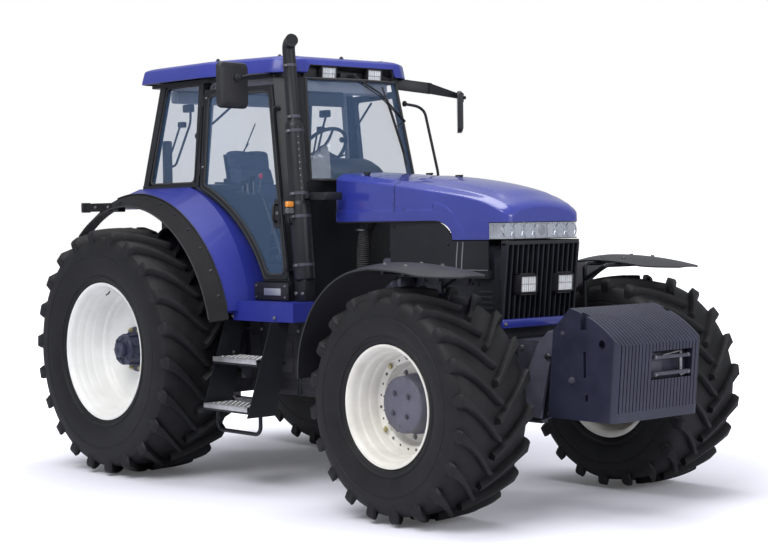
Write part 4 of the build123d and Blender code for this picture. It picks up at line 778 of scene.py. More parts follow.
def hood_half(x, inset, drop):
    """Points of the right half section from the lower edge to the crown: half width and height."""
    w, shoulder, crown = hood_at(x)
    w -= inset
    low = hood_low(x)
    a_z, b_z = shoulder - 0.024 - drop, shoulder + 0.010 - drop
    b_w = w - 0.066
    crown -= drop
    rows = 34
    pts = []
    for i in range(rows + 1):
        z = low + (a_z - 0.008 - low) * i / rows
        swell = 0.004 * sin(pi * min(max((z - 1.73) / (a_z - 1.73), 0), 1))
        pts.append((w - 0.004 + swell + lip(x, z), z))
    for t in (0.0, 0.5, 1.0):
        u = 0.008 * (1 - t)
        pts.append((w - 0.004 - 0.012 * t ** 1.5 - 0.001, a_z - u + 0.006 * t))
    for t in (0.25, 0.5, 0.75, 0.92):
        pts.append((w - 0.016 + (b_w + 0.016 - w) * t, a_z + 0.006 + (b_z - a_z - 0.008) * t))
    deck = 16
    for i in range(deck + 1):
        y = b_w * (1 - i / deck)
        rise = 1 - (y / b_w) ** 2
        raised = 0.005 * smooth_step(0.26, 0.235, y) * smooth_step(0.72, 0.78,
                                                                   x) * (1 - smooth_step(1.50, 1.60, x))
        pts.append((y, b_z + (crown - b_z) * rise + raised))
    return pts


def section_loop(x, inset, drop):
    half = hood_half(x, inset, drop)
    outer = [(x, -y, z) for y, z in half] + [(x, y, z) for y, z in reversed(half[:-1])]
    inner = []
    for x0, y, z in reversed(outer):
        grow = 1 - HOOD_SKIN / max(abs(half[0][0]), 0.05)
        top = smooth_step(half[0][0] - 0.09, half[0][0] - 0.01, abs(y))
        inner.append((x0, y * grow, z - HOOD_SKIN * (1 - top)))
    return outer + inner


def make_hood_skin():
    """The skin with its nose, and the ears of its hinge."""
    b = Build()
    xs = [0.095, 0.099]
    xs += [0.10 + 0.012 * i for i in range(1, 120) if 0.10 + 0.012 * i < BAND_X - 0.004]
    xs += [BAND_X - 0.0002, BAND_X + 0.0002, 1.56, 1.575, 1.59, 1.605, 1.618]
    xs += [HOOD_NOSE_X - NOSE_R * (1 - sin(a * pi / 20)) for a in range(0, 10)] + [HOOD_NOSE_X - 0.0004]
    loops = []
    for x in xs:
        inset = nose_inset(x)
        loops.append(section_loop(x, inset, 0.6 * inset * 0.75))
    b.rings(loops, "paint", caps=(True, False))
    # The nose above the lamps
    x = xs[-1]
    edge = loops[-1][:len(loops[-1]) // 2]
    verts = [Vector(p) for p in edge]
    low = [Vector((x + 0.0002, p[1], BAND_TOP_Z + 0.0005)) for p in edge]
    n = len(edge)
    b.add(verts + low, [[i, i + 1, n + i + 1, n + i] for i in range(n - 1)], "paint")
    # Ears that turn on the hinge
    for sg in (1, -1):
        y = sg * 0.2
        b.slab(0.119, 0.151, y, 0.008, 2.113, 2.193, "frame", 0.004)
    piece = b.piece("dressed_hood", "hood", "body_paint", smooth=24)
    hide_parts("hood")


def deck_strip(b, x0, x1, key, reach=1.0):
    """A narrow strip lying on the hood, over its deck and down its sides."""
    rows = []
    for x in (x0, x1):
        half = [p for p in hood_half(x, 0, 0) if p[1] > 1.915 or reach < 1]
        if reach < 1:
            half = [p for p in half if p[0] < hood_at(x)[0] * reach]
        loop = [(x, -y - (STRIP_LIFT if y > 0.3 else 0), z + (STRIP_LIFT if y < 0.395 else 0)) for y,
                z in half]
        loop += [(x, -p[1], p[2]) for p in reversed(loop[:-1])]
        rows.append(loop)
    b.rings(rows, key, close=False, caps=(False, False))


def make_hood_trim():
    """Seams as dark strips, a painted shade of their gaps, fasteners and the rubber under the side edges.
    """
    b = Build()
    # Seams: dark strips lying on the skin, painted shade standing for the gaps between the panels
    deck_strip(b, SEAM_X, SEAM_X + 0.006, "frame")
    deck_strip(b, 0.43, 0.436, "frame", reach=0.86)
    # Fasteners on the deck and the sides
    for x, y in ((0.285, -0.30), (0.285, 0.30), (0.90, 0.0)):
        z = hood_at(x)[2] - 0.002 - (0.012 if y else 0)
        b.disc((x, y, z), UP, 0.021, 0.009, "plastic", 24)
        b.slab(x - 0.032, x + 0.032, y, 0.009, z + 0.006, z + 0.019, "frame", 0.004)
    for x in (0.79, 1.13):
        for sg in (1, -1):
            w = hood_at(x)[0]
            b.disc((x, sg * (w - 0.002), 1.925), (0, sg, 0), 0.012, 0.006, "frame", 20)
    # Rubber seal under the side edge
    stops = [0.10 + 0.05 * i for i in range(20)]
    stops += [STEP_X - STEP_R * (1 - sin(a * pi / 20)) for a in range(10)]
    for sg in (1, -1):
        path = [(x, sg * (hood_at(x)[0] - 0.009), hood_low(x) - 0.004) for x in stops]
        b.tube(path, 0.006, "mat", 8)
    b.piece("hood_trim", "hood", "dark_plastic")


def band_path(inset):
    """Plan of the lamp band from the right side round the nose to the left: x and y."""
    side = hood_at(BAND_X)[0] - 0.004
    right = [(BAND_X, -side + inset)]
    front_w = hood_at(HOOD_NOSE_X)[0] - 0.006
    corner_x, corner_y = HOOD_NOSE_X - NOSE_R, front_w - NOSE_R
    for i in range(9):
        a = pi / 2 * i / 8
        right.append((corner_x + (NOSE_R - inset) * sin(a), -corner_y - (NOSE_R - inset) * cos(a)))
    right += [(HOOD_NOSE_X - inset + 0.002, -corner_y * 0.5), (HOOD_NOSE_X - inset + 0.003, 0)]
    return right + [(x, -y) for x, y in reversed(right[:-1])]


def band_rings(outside, inside, heights):
    """Loops round a wall between two insets of the band's plan."""
    outer, inner = band_path(outside), band_path(inside)
    return [[(x, y, z) for x, y in outer] + [(x, y, z) for x, y in reversed(inner)] for z in heights]


def band_wall(b, inset, z0, z1, key, thick):
    """A wall that follows the band's plan."""
    b.rings(band_rings(inset, inset + thick, [z0 + (z1 - z0) * (k / 6) for k in range(7)]), key)


def make_headlamps():
    """The lamp band: housing with its cells, clear cover and black rims."""
    z0, z1 = HOOD_LOW_Z + 0.001, BAND_TOP_Z - 0.002
    b = Build()
    band_wall(b, 0.046, z0 + 0.004, z1 - 0.004, "chrome", 0.006)
    # Floor and lid of the housing
    for z in (z0, z1 - 0.006):
        b.rings(band_rings(0.002, 0.052, (z, z + 0.006)), "chrome")
    mid = (z0 + z1) / 2
    dish = [(0.006, -0.040), (0.020, -0.034), (0.033, -0.020), (0.043, -0.002), (0.046, 0.006),
            (0.049, 0.006), (0.049, -0.002)]
    front = HOOD_NOSE_X - 0.040
    for sg in (1, -1):
        for y in (0.105, 0.203, 0.300):
            b.lathe(dish, (front, sg * y, mid), FRONT, "chrome", 28)
            b.disc((front - 0.036, sg * y, mid), FRONT, 0.009, 0.028, "bulb", 14)
            b.lathe([(0.0185, 0.0), (0.0215, 0.002), (0.0215, 0.005), (0.0185, 0.005)],
                    (front - 0.010, sg * y, mid), FRONT, "chrome", 20, closed=True)
        # Turn signal behind the side of the band
        b.slab(BAND_X + 0.008, BAND_X + 0.082, sg * 0.322, 0.004, z0 + 0.012, z1 - 0.012, "bulb",
              0.003)
        for k in range(6):
            x = BAND_X + 0.014 + 0.012 * k
            b.slab(x, x + 0.007, sg * 0.329, 0.003, z0 + 0.014, z1 - 0.014, "chrome", 0.001)
        b.box((BAND_X + 0.003, sg * 0.315, z0), (BAND_X + 0.009, sg * 0.366, z1), "chrome", 0.001)
    # A plain plate in the middle, and the ribs between the lamps
    b.box((front - 0.004, -0.046, z0 + 0.008), (front + 0.016, 0.046, z1 - 0.008), "silver", 0.006)
    b.lathe([(0.030, 0), (0.034, 0.004), (0.031, 0.006), (0.022, 0.007), (0.0001, 0.007)],
            (front + 0.014, 0, mid), FRONT, "steel", 32)
    for y in (-0.252, -0.154, -0.054, 0.054, 0.154, 0.252):
        b.slab(front - 0.02, front + 0.022, y, 0.0025, z0 + 0.004, z1 - 0.004, "chrome", 0.001)
    lamps = b.piece("dressed_headlamps", "hood", "lamp_glass")
    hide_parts("headlamps")
    b = Build()
    band_wall(b, 0.001, z0, z1, "lamp", 0.005)
    b.piece("headlamp_cover", "hood", "lamp_glass")
    b = Build()
    for z in (z0 - 0.0005, z1 - 0.003):
        b.rings(band_rings(-0.0025, 0.006, (z, z + 0.005)), "frame")
    b.piece("headlamp_frame", "hood", "dark_plastic")


# Grille and cowl

GRILLE_LOW = (1.63, 1.161)
GRILLE_TOP = (1.69, 1.724)
GRILLE_HALF = 0.346
GRILLE_LAMP_Y, GRILLE_LAMP_Z = 0.174, 1.44
ROOF_LAMP_Y = 0.219
TAIL_BAR_Y = 1.07


def grille_x(z):
    t = (z - GRILLE_LOW[1]) / (GRILLE_TOP[1] - GRILLE_LOW[1])
    return GRILLE_LOW[0] + t * (GRILLE_TOP[0] - GRILLE_LOW[0])


def upright(b, y, half, z0, z1, depth, key):
    """One slat: a rounded nose and straight flanks from z0 to z1."""
    rows = []
    for k in range(9):
        z = z0 + (z1 - z0) * k / 8
        x = grille_x(z)
        rows.append([(x - depth, y - half, z), (x - half * 1.2, y - half, z),
                     (x - half * 0.4, y - half * 0.8, z), (x, y - half * 0.3, z), (x, y + half * 0.3, z),
                     (x - half * 0.4, y + half * 0.8, z), (x - half * 1.2, y + half, z),
                     (x - depth, y + half, z)])
    b.rings(rows, key)


def make_grille():
    """Upright slats between two bars, lamp pockets and the mesh behind."""
    b = Build()
    z0, z1 = GRILLE_LOW[1], GRILLE_TOP[1]
    pitch = 2 * (GRILLE_HALF - 0.012) / 14
    for i in range(15):
        y = -GRILLE_HALF + 0.012 + i * pitch
        half = 0.012 if i in (0, 14) else 0.0075
        spans = [(z0 + 0.02, z1 - 0.02)]
        if abs(abs(y) - GRILLE_LAMP_Y) < 0.066:
            spans = [(z0 + 0.02, 1.371), (1.509, z1 - 0.02)]
        for lo, hi in spans:
            upright(b, y, half, lo, hi, 0.052, "slat")
    for lo, hi in ((z0, z0 + 0.03), (z1 - 0.03, z1)):
        rows = []
        for z in (lo, lo + 0.004, (lo + hi) / 2, hi - 0.004, hi):
            e = 0.005 if z in (lo, hi) else 0.0
            x = grille_x(z) - e
            rows.append([(x - 0.055, -GRILLE_HALF, z), (x - 0.012, -GRILLE_HALF, z),
                         (x, -GRILLE_HALF + 0.012, z), (x, GRILLE_HALF - 0.012, z),
                         (x - 0.012, GRILLE_HALF, z), (x - 0.055, GRILLE_HALF, z)])
        b.rings(rows, "plastic")
    # Lamp pockets: a deep black frame round each
    for sg in (1, -1):
        for lo, hi in (((-0.070, -0.070), (-0.0605, 0.070)), ((0.0605, -0.070), (0.070, 0.070)),
                       ((-0.070, -0.070), (0.070, -0.0605)), ((-0.070, 0.0605), (0.070, 0.070))):
            b.box((1.60, sg * GRILLE_LAMP_Y + lo[0], GRILLE_LAMP_Z + lo[1]),
                  (1.697, sg * GRILLE_LAMP_Y + hi[0], GRILLE_LAMP_Z + hi[1]), "plastic", 0.003)
        b.slab(1.595, 1.602, sg * GRILLE_LAMP_Y, 0.066, 1.376, 1.504, "plastic", 0.001)
    piece = b.piece("dressed_grille", "chassis", "dark_plastic", smooth=30)
    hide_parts("grille")
    # Mesh behind the slats
    b = Build()
    for i in range(46):
        z = z0 + 0.03 + i * (z1 - z0 - 0.06) / 45
        b.box((grille_x(z) - 0.062, -GRILLE_HALF + 0.01, z - 0.0012),
              (grille_x(z) - 0.058, GRILLE_HALF - 0.01, z + 0.0012), "frame", 0)
    for i in range(56):
        y = -GRILLE_HALF + 0.012 + i * 2 * (GRILLE_HALF - 0.012) / 55
        b.tube([(grille_x(z0 + 0.02) - 0.0615, y, z0 + 0.02), (grille_x(z1 - 0.02) - 0.0615, y, z1 - 0.02)],
               0.0012, "frame", 4)
    b.piece("grille_mesh", "chassis", "dark_plastic")


def square_lamp(b, at, half, facing, depth=0.05, wide=0.0):
    """A square work lamp: rounded housing, reflector, lens with ribs."""
    turn = Matrix.Translation(at) @ Vector(facing).to_track_quat("X", "Z").to_matrix().to_4x4()
    h, w = half, wide or half
    b.box((-depth, -w, -h), (-0.010, w, h), "plastic", 0.010, turn)
    for lo, hi in (((-0.012, -w, -h), (0.0, -w + 0.009, h)), ((-0.012, w - 0.009, -h), (0.0, w, h)),
                   ((-0.012, -w, -h), (0.0, w, -h + 0.009)), ((-0.012, -w, h - 0.009), (0.0, w, h))):
        b.box(lo, hi, "plastic", 0.003, turn)
    b.box((-0.0105, -w + 0.006, -h + 0.006), (-0.0085, w - 0.006, h - 0.006), "bulb", 0, turn)
    n = 7
    for i in range(n):
        y = -w + 0.009 + (i + 0.5) * 2 * (w - 0.009) / n
        b.slab(-0.0085, -0.0035, y, 0.0052, -h + 0.009, h - 0.009, "lens", 0.0015, turn)
    b.box((-0.0085, -w + 0.010, -0.004), (-0.0025, w - 0.010, 0.004), "lens", 0.001, turn)


# Cowl, side panels and what shows beside the engine

def make_cowl_trim():
    """Pressed lines of the side panels drawn in pale grey as a painted highlight, their screws and louvres,
    and the bar under the grille.
    """
    b = Build()
    for sg in (1, -1):
        y = sg * 0.3925
        for x in (1.262, 1.312):
            # Pressed lines as thin pale beads: painted highlight of the creases
            b.tube([(x + 0.02, y, 1.715), (x + 0.006, y, 1.6), (x, y, 1.49)], 0.0045, "edge", 8)
        b.box((1.36, sg * 0.388, 1.532), (1.555, sg * 0.3935, 1.537), "edge", 0.001)
        # Screws along the panels
        for x, z in ((0.66, 1.82), (0.66, 1.52), (0.95, 1.52), (1.19, 1.52), (1.19, 1.70)):
            b.bolt((x, sg * 0.392, z), (0, sg, 0), 0.009, "frame")
        for z in (1.20, 1.44):
            b.bolt((1.43, sg * 0.356, z), (0, sg, 0), 0.009, "frame")
        # Louvres in the lower cowl
        for k in range(5):
            z = 1.245 + 0.035 * k
            b.slab(1.44, 1.56, sg * 0.3565, 0.004, z, z + 0.014, "plastic", 0.003)
    # Painted bar under the grille
    b.box((1.634, -0.398, 1.163), (1.690, 0.398, 1.220), "paint", 0.012)
    for sg in (1, -1):
        b.slab(1.60, 1.66, sg * 0.372, 0.02, 1.13, 1.19, "frame", 0.005)
        b.bolt((1.690, sg * 0.372, 1.19), FRONT, 0.011, "steel")
    b.piece("cowl_trim", "chassis", "frame_metal")


def bellows(b, points, r, key):
    """A corrugated hose along a smooth line."""
    pitch, depth = 0.014, 0.007
    pts = rounded(points, 0.09, 10)
    total = sum((q - p).length for p, q in zip(pts, pts[1:]))
    n = int(total / pitch) * 4
    even, radii = [], []
    for i in range(n + 1):
        want = total * i / n
        run = 0
        for p, q in zip(pts, pts[1:]):
            step = (q - p).length
            if run + step >= want - 1e-9:
                even.append(p.lerp(q, (want - run) / step if step else 0))
                break
            run += step
        radii.append(r - (depth, depth * 0.4, 0.0, depth * 0.4)[i % 4])
    b.tube(even, radii, key, 24)


def make_engine_dress():
    """What fills the engine bay below the hood: hoses, filters, manifold and lines."""
    b = Build()
    for sg in (1, -1):
        bellows(b, [(0.235, sg * 0.305, 1.47), (0.245, sg * 0.305, 1.70), (0.27, sg * 0.29, 1.86),
                    (0.40, sg * 0.22, 1.95)], 0.052, "mat")
        for z in (1.49, 1.80):
            b.lathe([(0.054, -0.008), (0.056, -0.006), (0.056, 0.006), (0.054, 0.008)],
                    (0.24, sg * 0.305, z), UP, "steel", 28, closed=True)
    # Exhaust manifold and turbocharger on the right, inlet manifold and pump on the left
    for i in range(6):
        x = 0.47 + 0.145 * i
        b.tube(rounded([(x, -0.15, 1.60), (x, -0.215, 1.60), (x + 0.02, -0.262, 1.575)], 0.03), 0.027,
               "cast", 14)
        b.tube(rounded([(x, 0.15, 1.62), (x, 0.22, 1.62), (x, 0.255, 1.59)], 0.03), 0.024, "cast", 14)
        b.disc((x, 0.0, 1.768), UP, 0.030, 0.018, "frame", 20)
    b.tube([(0.44, -0.268, 1.57), (1.22, -0.268, 1.57)], 0.034, "cast", 18)
    b.tube([(0.44, 0.262, 1.585), (1.22, 0.262, 1.585)], 0.038, "cast", 18)
    b.lathe([(0.03, -0.07), (0.075, -0.06), (0.085, -0.03), (0.085, 0.0), (0.05, 0.015), (0.05, 0.035),
             (0.078, 0.045), (0.078, 0.075), (0.03, 0.085)], (0.62, -0.295, 1.44), FRONT, "cast", 32)
    for x, y, z, r, h in ((0.52, -0.262, 1.19, 0.048, 0.17), (0.66, -0.262, 1.19, 0.048, 0.17),
                          (0.50, 0.272, 1.20, 0.044, 0.15), (0.62, 0.272, 1.20, 0.044, 0.15)):
        b.lathe([(r * 0.4, 0), (r, 0.006), (r, h - 0.03), (r * 0.93, h - 0.02), (r * 0.93, h),
                 (r * 0.4, h + 0.004)], (x, y, z), UP, "white" if y < 0 else "frame", 30)
    b.lathe([(0.02, -0.07), (0.062, -0.06), (0.066, -0.045), (0.066, 0.045), (0.060, 0.062), (0.02, 0.07)],
            (1.13, 0.28, 1.33), FRONT, "steel", 30)
    for k in range(12):
        a = 2 * pi * k / 12
        b.box((-0.03, 0.060, -0.006), (0.03, 0.068, 0.006), "cast", 0.002,
              Matrix.Translation((1.13, 0.28, 1.33)) @ Matrix.Rotation(a, 4, "X"))
    for k in range(4):
        z = 1.16 + 0.09 * k
        for sg in (1, -1):
            b.box((0.40, sg * 0.226, z), (1.26, sg * 0.236, z + 0.012), "cast", 0.003)
    for i in range(6):
        for sg in (1, -1):
            x = 0.47 + 0.145 * i
            b.disc((x, sg * 0.228, 1.46), (0, sg, 0), 0.036, 0.012, "cast", 24)
            b.bolt((x + 0.07, sg * 0.23, 1.52), (0, sg, 0), 0.012, "frame")
            b.bolt((x + 0.07, sg * 0.23, 1.12), (0, sg, 0), 0.012, "frame")
    b.tube(rounded([(0.42, 0.20, 1.65), (0.55, 0.21, 1.70), (1.0, 0.20, 1.70), (1.25, 0.23, 1.62)], 0.05),
           0.010, "steel", 10)
    b.tube(rounded([(0.40, -0.18, 1.66), (0.50, -0.24, 1.68), (0.62, -0.29, 1.60), (0.62, -0.295, 1.53)],
                   0.05), 0.022, "mat", 12)
    b.tube(rounded([(1.28, -0.12, 1.52), (1.36, -0.16, 1.60), (1.425, -0.18, 1.62)], 0.04), 0.028, "mat",
           14)
    b.tube(rounded([(1.28, 0.15, 1.20), (1.36, 0.2, 1.18), (1.425, 0.2, 1.16)], 0.04), 0.028, "mat", 14)
    b.piece("engine_dress", "chassis", "frame_metal")


def make_frame_dress():
    """Bolts, hoses and steering cylinders along the chassis and the front axle."""
    b = Build()
    for sg in (1, -1):
        for x in (0.40, 0.52, 0.64, 0.90, 1.02, 1.14):
            for z in (0.85, 1.03):
                b.bolt((x, sg * 0.17, z), (0, sg, 0), 0.014, "frame")
        for z in (0.70, 1.04, 0.86):
            b.bolt((1.735, sg * 0.273, z), (0, sg, 0), 0.015, "steel")
        b.tube(rounded([(0.9, sg * 0.19, 1.05), (1.2, sg * 0.20, 1.02), (1.36, sg * 0.26, 0.98),
                        (1.43, sg * 0.42, 0.92), (1.46, sg * 0.56, 0.86)], 0.08), 0.011, "mat", 10)
        b.tube(rounded([(0.9, sg * 0.19, 1.01), (1.2, sg * 0.20, 0.98), (1.37, sg * 0.25, 0.93),
                        (1.44, sg * 0.36, 0.80), (1.435, sg * 0.40, 0.78)], 0.08), 0.009, "mat", 10)
        # Steering cylinder and its rod, behind the axle beam
        b.lathe([(0.012, 0), (0.030, 0.004), (0.034, 0.010), (0.034, 0.030), (0.029, 0.036), (0.029, 0.225),
                 (0.033, 0.232), (0.033, 0.252), (0.018, 0.256)], (1.425, sg * 0.20, 0.735), (0, sg, 0),
                "cast", 28)
        b.disc((1.425, sg * 0.44, 0.735), (0, sg, 0), 0.013, 0.17, "chrome", 18)
        b.slab(1.42, 1.475, sg * 0.33, 0.03, 0.70, 0.76, "axle", 0.008)
    for k in range(10):
        a = 2 * pi * k / 10
        b.bolt((FRONT_X + 0.112 * cos(a), 0.112 * sin(a), 0.587), DOWN, 0.012, "frame", washer=False)
    b.piece("frame_dress", "chassis", "frame_metal")


FENDER_X, FENDER_Y, FENDER_Z = 1.395, 1.0275, 0.87
FENDER_R = 0.733


def fender_top(x, y):
    """Height of the front fender's outer face at x, y."""
    run, drop = 0.66, 0.075
    big = FENDER_R if x < FENDER_X else (run ** 2 + drop ** 2) / (2 * drop)
    top = FENDER_Z + FENDER_R - big + sqrt(big ** 2 - (x - FENDER_X) ** 2)
    half, crown = 0.2575, 0.033
    curve = (half ** 2 + crown ** 2) / (2 * crown)
    return top - curve + sqrt(curve ** 2 - (y - FENDER_Y) ** 2)


def make_front_fender_dress():
    """Rolled edges, stay clamps and bolts on each front fender."""
    for side, sg in SIDES:
        b = Build()
        r = FENDER_R - 0.0385
        for y in (0.772, 1.283):
            path = [(FENDER_X - r, sg * y, FENDER_Z - 0.018)]
            for i in range(25):
                a = pi / 2 * i / 24
                path.append((FENDER_X - r * cos(a), sg * y, FENDER_Z + r * sin(a)))
            b.tube(path, 0.0065, "plastic", 10)
        for x in (1.435, 1.625):
            for y in (0.86, 1.17):
                top = fender_top(x, y)
                b.bolt((x, sg * y, top - 0.001), UP, 0.012, "steel")
                b.slab(x - 0.02, x + 0.02, sg * y, 0.03, top - 0.040, top - 0.012, "frame", 0.005)
        b.piece("front_fender_dress_" + side, "knuckle_" + side, "dark_plastic")


# Ballast and its carrier

def make_ballast_dress():
    """Tow jaw in the nose's pocket, bushes and bolts of the block."""
    b = Build()
    nose = 2.65
    # Tow jaw in the pocket: two bars, a pin and its handle
    for z in (0.905, 1.005):
        b.box((nose - 0.062, -0.06, z - 0.011), (nose - 0.004, 0.285, z + 0.011), "cast", 0.006)
    b.disc((nose - 0.030, 0.215, 0.880), UP, 0.013, 0.15, "steel", 18)
    b.tube(rounded([(nose - 0.030, 0.215, 1.03), (nose - 0.022, 0.215, 1.036), (nose - 0.014, 0.12, 1.026),
                    (nose - 0.012, 0.02, 1.016)], 0.01), 0.006, "steel", 10)
    b.tube(rounded([(nose - 0.030, 0.215, 0.885), (nose - 0.018, 0.20, 0.884), (nose - 0.014, 0.27, 0.9)],
                   0.01), 0.005, "steel", 10)
    b.box((nose - 0.064, -0.070, 0.885), (nose - 0.050, 0.06, 1.03), "cast", 0.004)
    for y, z in ((-0.045, 0.90), (-0.045, 1.01), (0.265, 0.90), (0.265, 1.01)):
        b.bolt((nose - 0.010, y, z), FRONT, 0.009, "steel")
    for sg in (1, -1):
        # Lifting eye's bush, and the latch near the carrier
        b.lathe([(0.026, -0.002), (0.034, 0.0), (0.034, 0.004), (0.026, 0.004)], (2.52, sg * 0.397, 1.101),
                (0, sg, 0), "ballast", 28, closed=True)
        b.bolt((2.275, sg * 0.400, 0.870), (0, sg, 0), 0.018, "cast")
        b.bolt((2.205, sg * 0.400, 1.155), (0, sg, 0), 0.012, "cast")
    b.piece("ballast_dress", "front_hitch", "ballast_paint")


def make_carrier_dress():
    """Curved lift arms, locking levers and pins on the front linkage."""
    b = Build()
    outline = [(2.145, 1.172), (2.044, 1.151), (1.951, 1.063), (1.880, 0.924), (1.842, 0.769),
               (1.851, 0.617), (1.967, 0.609), (2.003, 0.763), (2.052, 0.951), (2.121, 1.071)]
    for sg in (1, -1):
        # Curved lift arm, with a rim along its back edge
        b.plate([(x, sg * 0.337, z) for x, z in outline], (0, sg * 0.022, 0), "axle")
        b.tube([(x, sg * 0.348, z) for x, z in outline[:6]], 0.011, "axle", 10)
        b.disc((2.03, sg * 0.300, 1.0), (0, sg, 0), 0.024, 0.060, "steel", 24)
        b.tube(rounded([(2.03, sg * 0.352, 1.0), (2.03, sg * 0.368, 1.0), (2.10, sg * 0.372, 1.002),
                        (2.155, sg * 0.372, 0.985)], 0.02), 0.010, "frame", 12)
        for x, z in ((1.96, 0.72), (2.0, 0.86), (2.02, 0.64)):
            b.bolt((x, sg * 0.323, z), (0, sg, 0), 0.015, "steel")
        b.lathe([(0.020, -0.004), (0.052, 0.0), (0.056, 0.004), (0.052, 0.012), (0.030, 0.014),
                 (0.0001, 0.014)], (1.845, sg * 0.3425, 0.64), (0, sg, 0), "cast", 32)
        b.bolt((1.845, sg * 0.356, 0.64), (0, sg, 0), 0.013, "steel")
    b.piece("carrier_dress", "front_hitch", "frame_metal")


def make_front():
    make_hood_skin()
    make_hood_trim()
    make_headlamps()
    make_grille()
    make_cowl_trim()
    make_engine_dress()
    make_frame_dress()
    make_front_fender_dress()
    make_ballast_dress()
    make_carrier_dress()


# Cab: the planes that its sides lie in

SHELF_Z = 2.13
TUMBLEHOME = 0.10
B_POST_X = -1.034
DOOR_RUN = Vector((0.796, 0.150, 0)).normalized()
DOOR_OUT = DOOR_RUN.cross(Vector((0, TUMBLEHOME, 1)).normalized()).normalized()
DOOR_UP = DOOR_OUT.cross(DOOR_RUN)
DOOR_TOP_Z = 2.848
DOOR_LOW_Z = 1.447
DOOR_ARCH_R = 1.305
DOOR_GAP = 0.008
ROOF_CORNER_R = 0.05
SCREEN_LOW_Z, SCREEN_TOP_Z = 2.15, 2.90


def other_side(points, sg):
    """Points given for the right side, or mirrored for the left."""
    return [(p[0], p[1] if sg < 0 else -p[1], p[2]) for p in points]


def door_point(u, z, out=0.0):
    """A point of the right door's outer face: u from the hinge line, height z, out along its normal."""
    v = (z - SHELF_Z) / DOOR_UP.z
    return Vector((B_POST_X, -0.8, SHELF_Z)) + DOOR_RUN * u + DOOR_UP * v + DOOR_OUT * out


def door_front_u(z):
    """Distance of the door's front edge from its hinge line at height z."""
    return 0.927 - (z - 1.447) * 0.230 / 1.292


def door_loop(inset, out):
    """The door's outline, drawn in by inset, as points of its outer face."""
    top, low = DOOR_TOP_Z - inset, DOOR_LOW_Z + inset
    arch = DOOR_ARCH_R + inset
    u0 = DOOR_GAP + inset
    x_low = REAR_X + sqrt(arch ** 2 - (low - REAR_Z) ** 2)
    u_low = (x_low - B_POST_X) / DOOR_RUN.x
    corners = [(u0, top), (door_front_u(top) - inset, top), (door_front_u(low) - inset, low), (u_low, low)]
    pts = [door_point(u, z, out) for u, z in corners]
    for i in range(1, 17):
        u = u_low + (u0 - u_low) * i / 16
        x = B_POST_X + u * DOOR_RUN.x
        pts.append(door_point(u, REAR_Z + sqrt(arch ** 2 - (x - REAR_X) ** 2), out))
    return pts


def closed_tube(b, points, r, key, corner=0.03):
    """A thin bar round a closed line with soft corners."""
    loop = [Vector(p) for p in points]
    start = (loop[0] + loop[1]) / 2
    b.tube(rounded([start] + loop[1:] + [loop[0], start], corner, 3), r, key, 8, caps=False)


def screen_point(t, z, out=0.0):
    """A point of the windscreen: t runs from -1 at its right edge to 1 at its left."""
    s = (z - SCREEN_LOW_Z) / (SCREEN_TOP_Z - SCREEN_LOW_Z)
    x = -0.096 + s * -0.126
    w = 0.506 + s * -0.070 - 0.004
    return Vector((x + 0.070 * (1 - t * t) + out, w * t, z))


def make_seals():
    """Rubber round each pane, and the double line of the posts."""
    b = Build()
    for sg in (1, -1):
        z0, z1 = SHELF_Z + 0.03, 2.895
        loop = []
        for x, z in ((-1.70, z0), (-1.118, z0), (-1.075, z1), (-1.562, z1)):
            loop.append((x, -(0.8 - (z - SHELF_Z) * TUMBLEHOME) + 0.020, z))
        closed_tube(b, other_side(loop, sg), 0.011, "mat", corner=0.05)
        post = [(-1.094, -0.800, SHELF_Z + 0.03), (-1.060, -0.724, 2.89)]
        b.tube(other_side(post, sg), 0.006, "frame", 8)
    rim = [screen_point(-1, SCREEN_LOW_Z + 0.01, 0.004)]
    rim += [screen_point(-1 + i / 8, SCREEN_LOW_Z + 0.008, 0.004) for i in range(1, 16)]
    rim += [screen_point(1, SCREEN_LOW_Z + 0.01, 0.004)]
    rim += [screen_point(1 - i / 8, 2.888, 0.004) for i in range(0, 17)]
    b.tube(rim + [rim[0]], 0.010, "mat", 8, caps=False)
    for x, z, w in ((-1.752, SHELF_Z + 0.03, 0.735), (-1.605, 2.89, 0.660)):
        b.tube([(x - 0.004, -w, z), (x - 0.004, w, z)], 0.010, "mat", 8)
    for sg in (1, -1):
        b.tube([(-1.756, sg * 0.735, SHELF_Z + 0.03), (-1.609, sg * 0.66, 2.89)], 0.010, "mat", 8)
    b.piece("window_seals", "chassis", "dark_plastic")


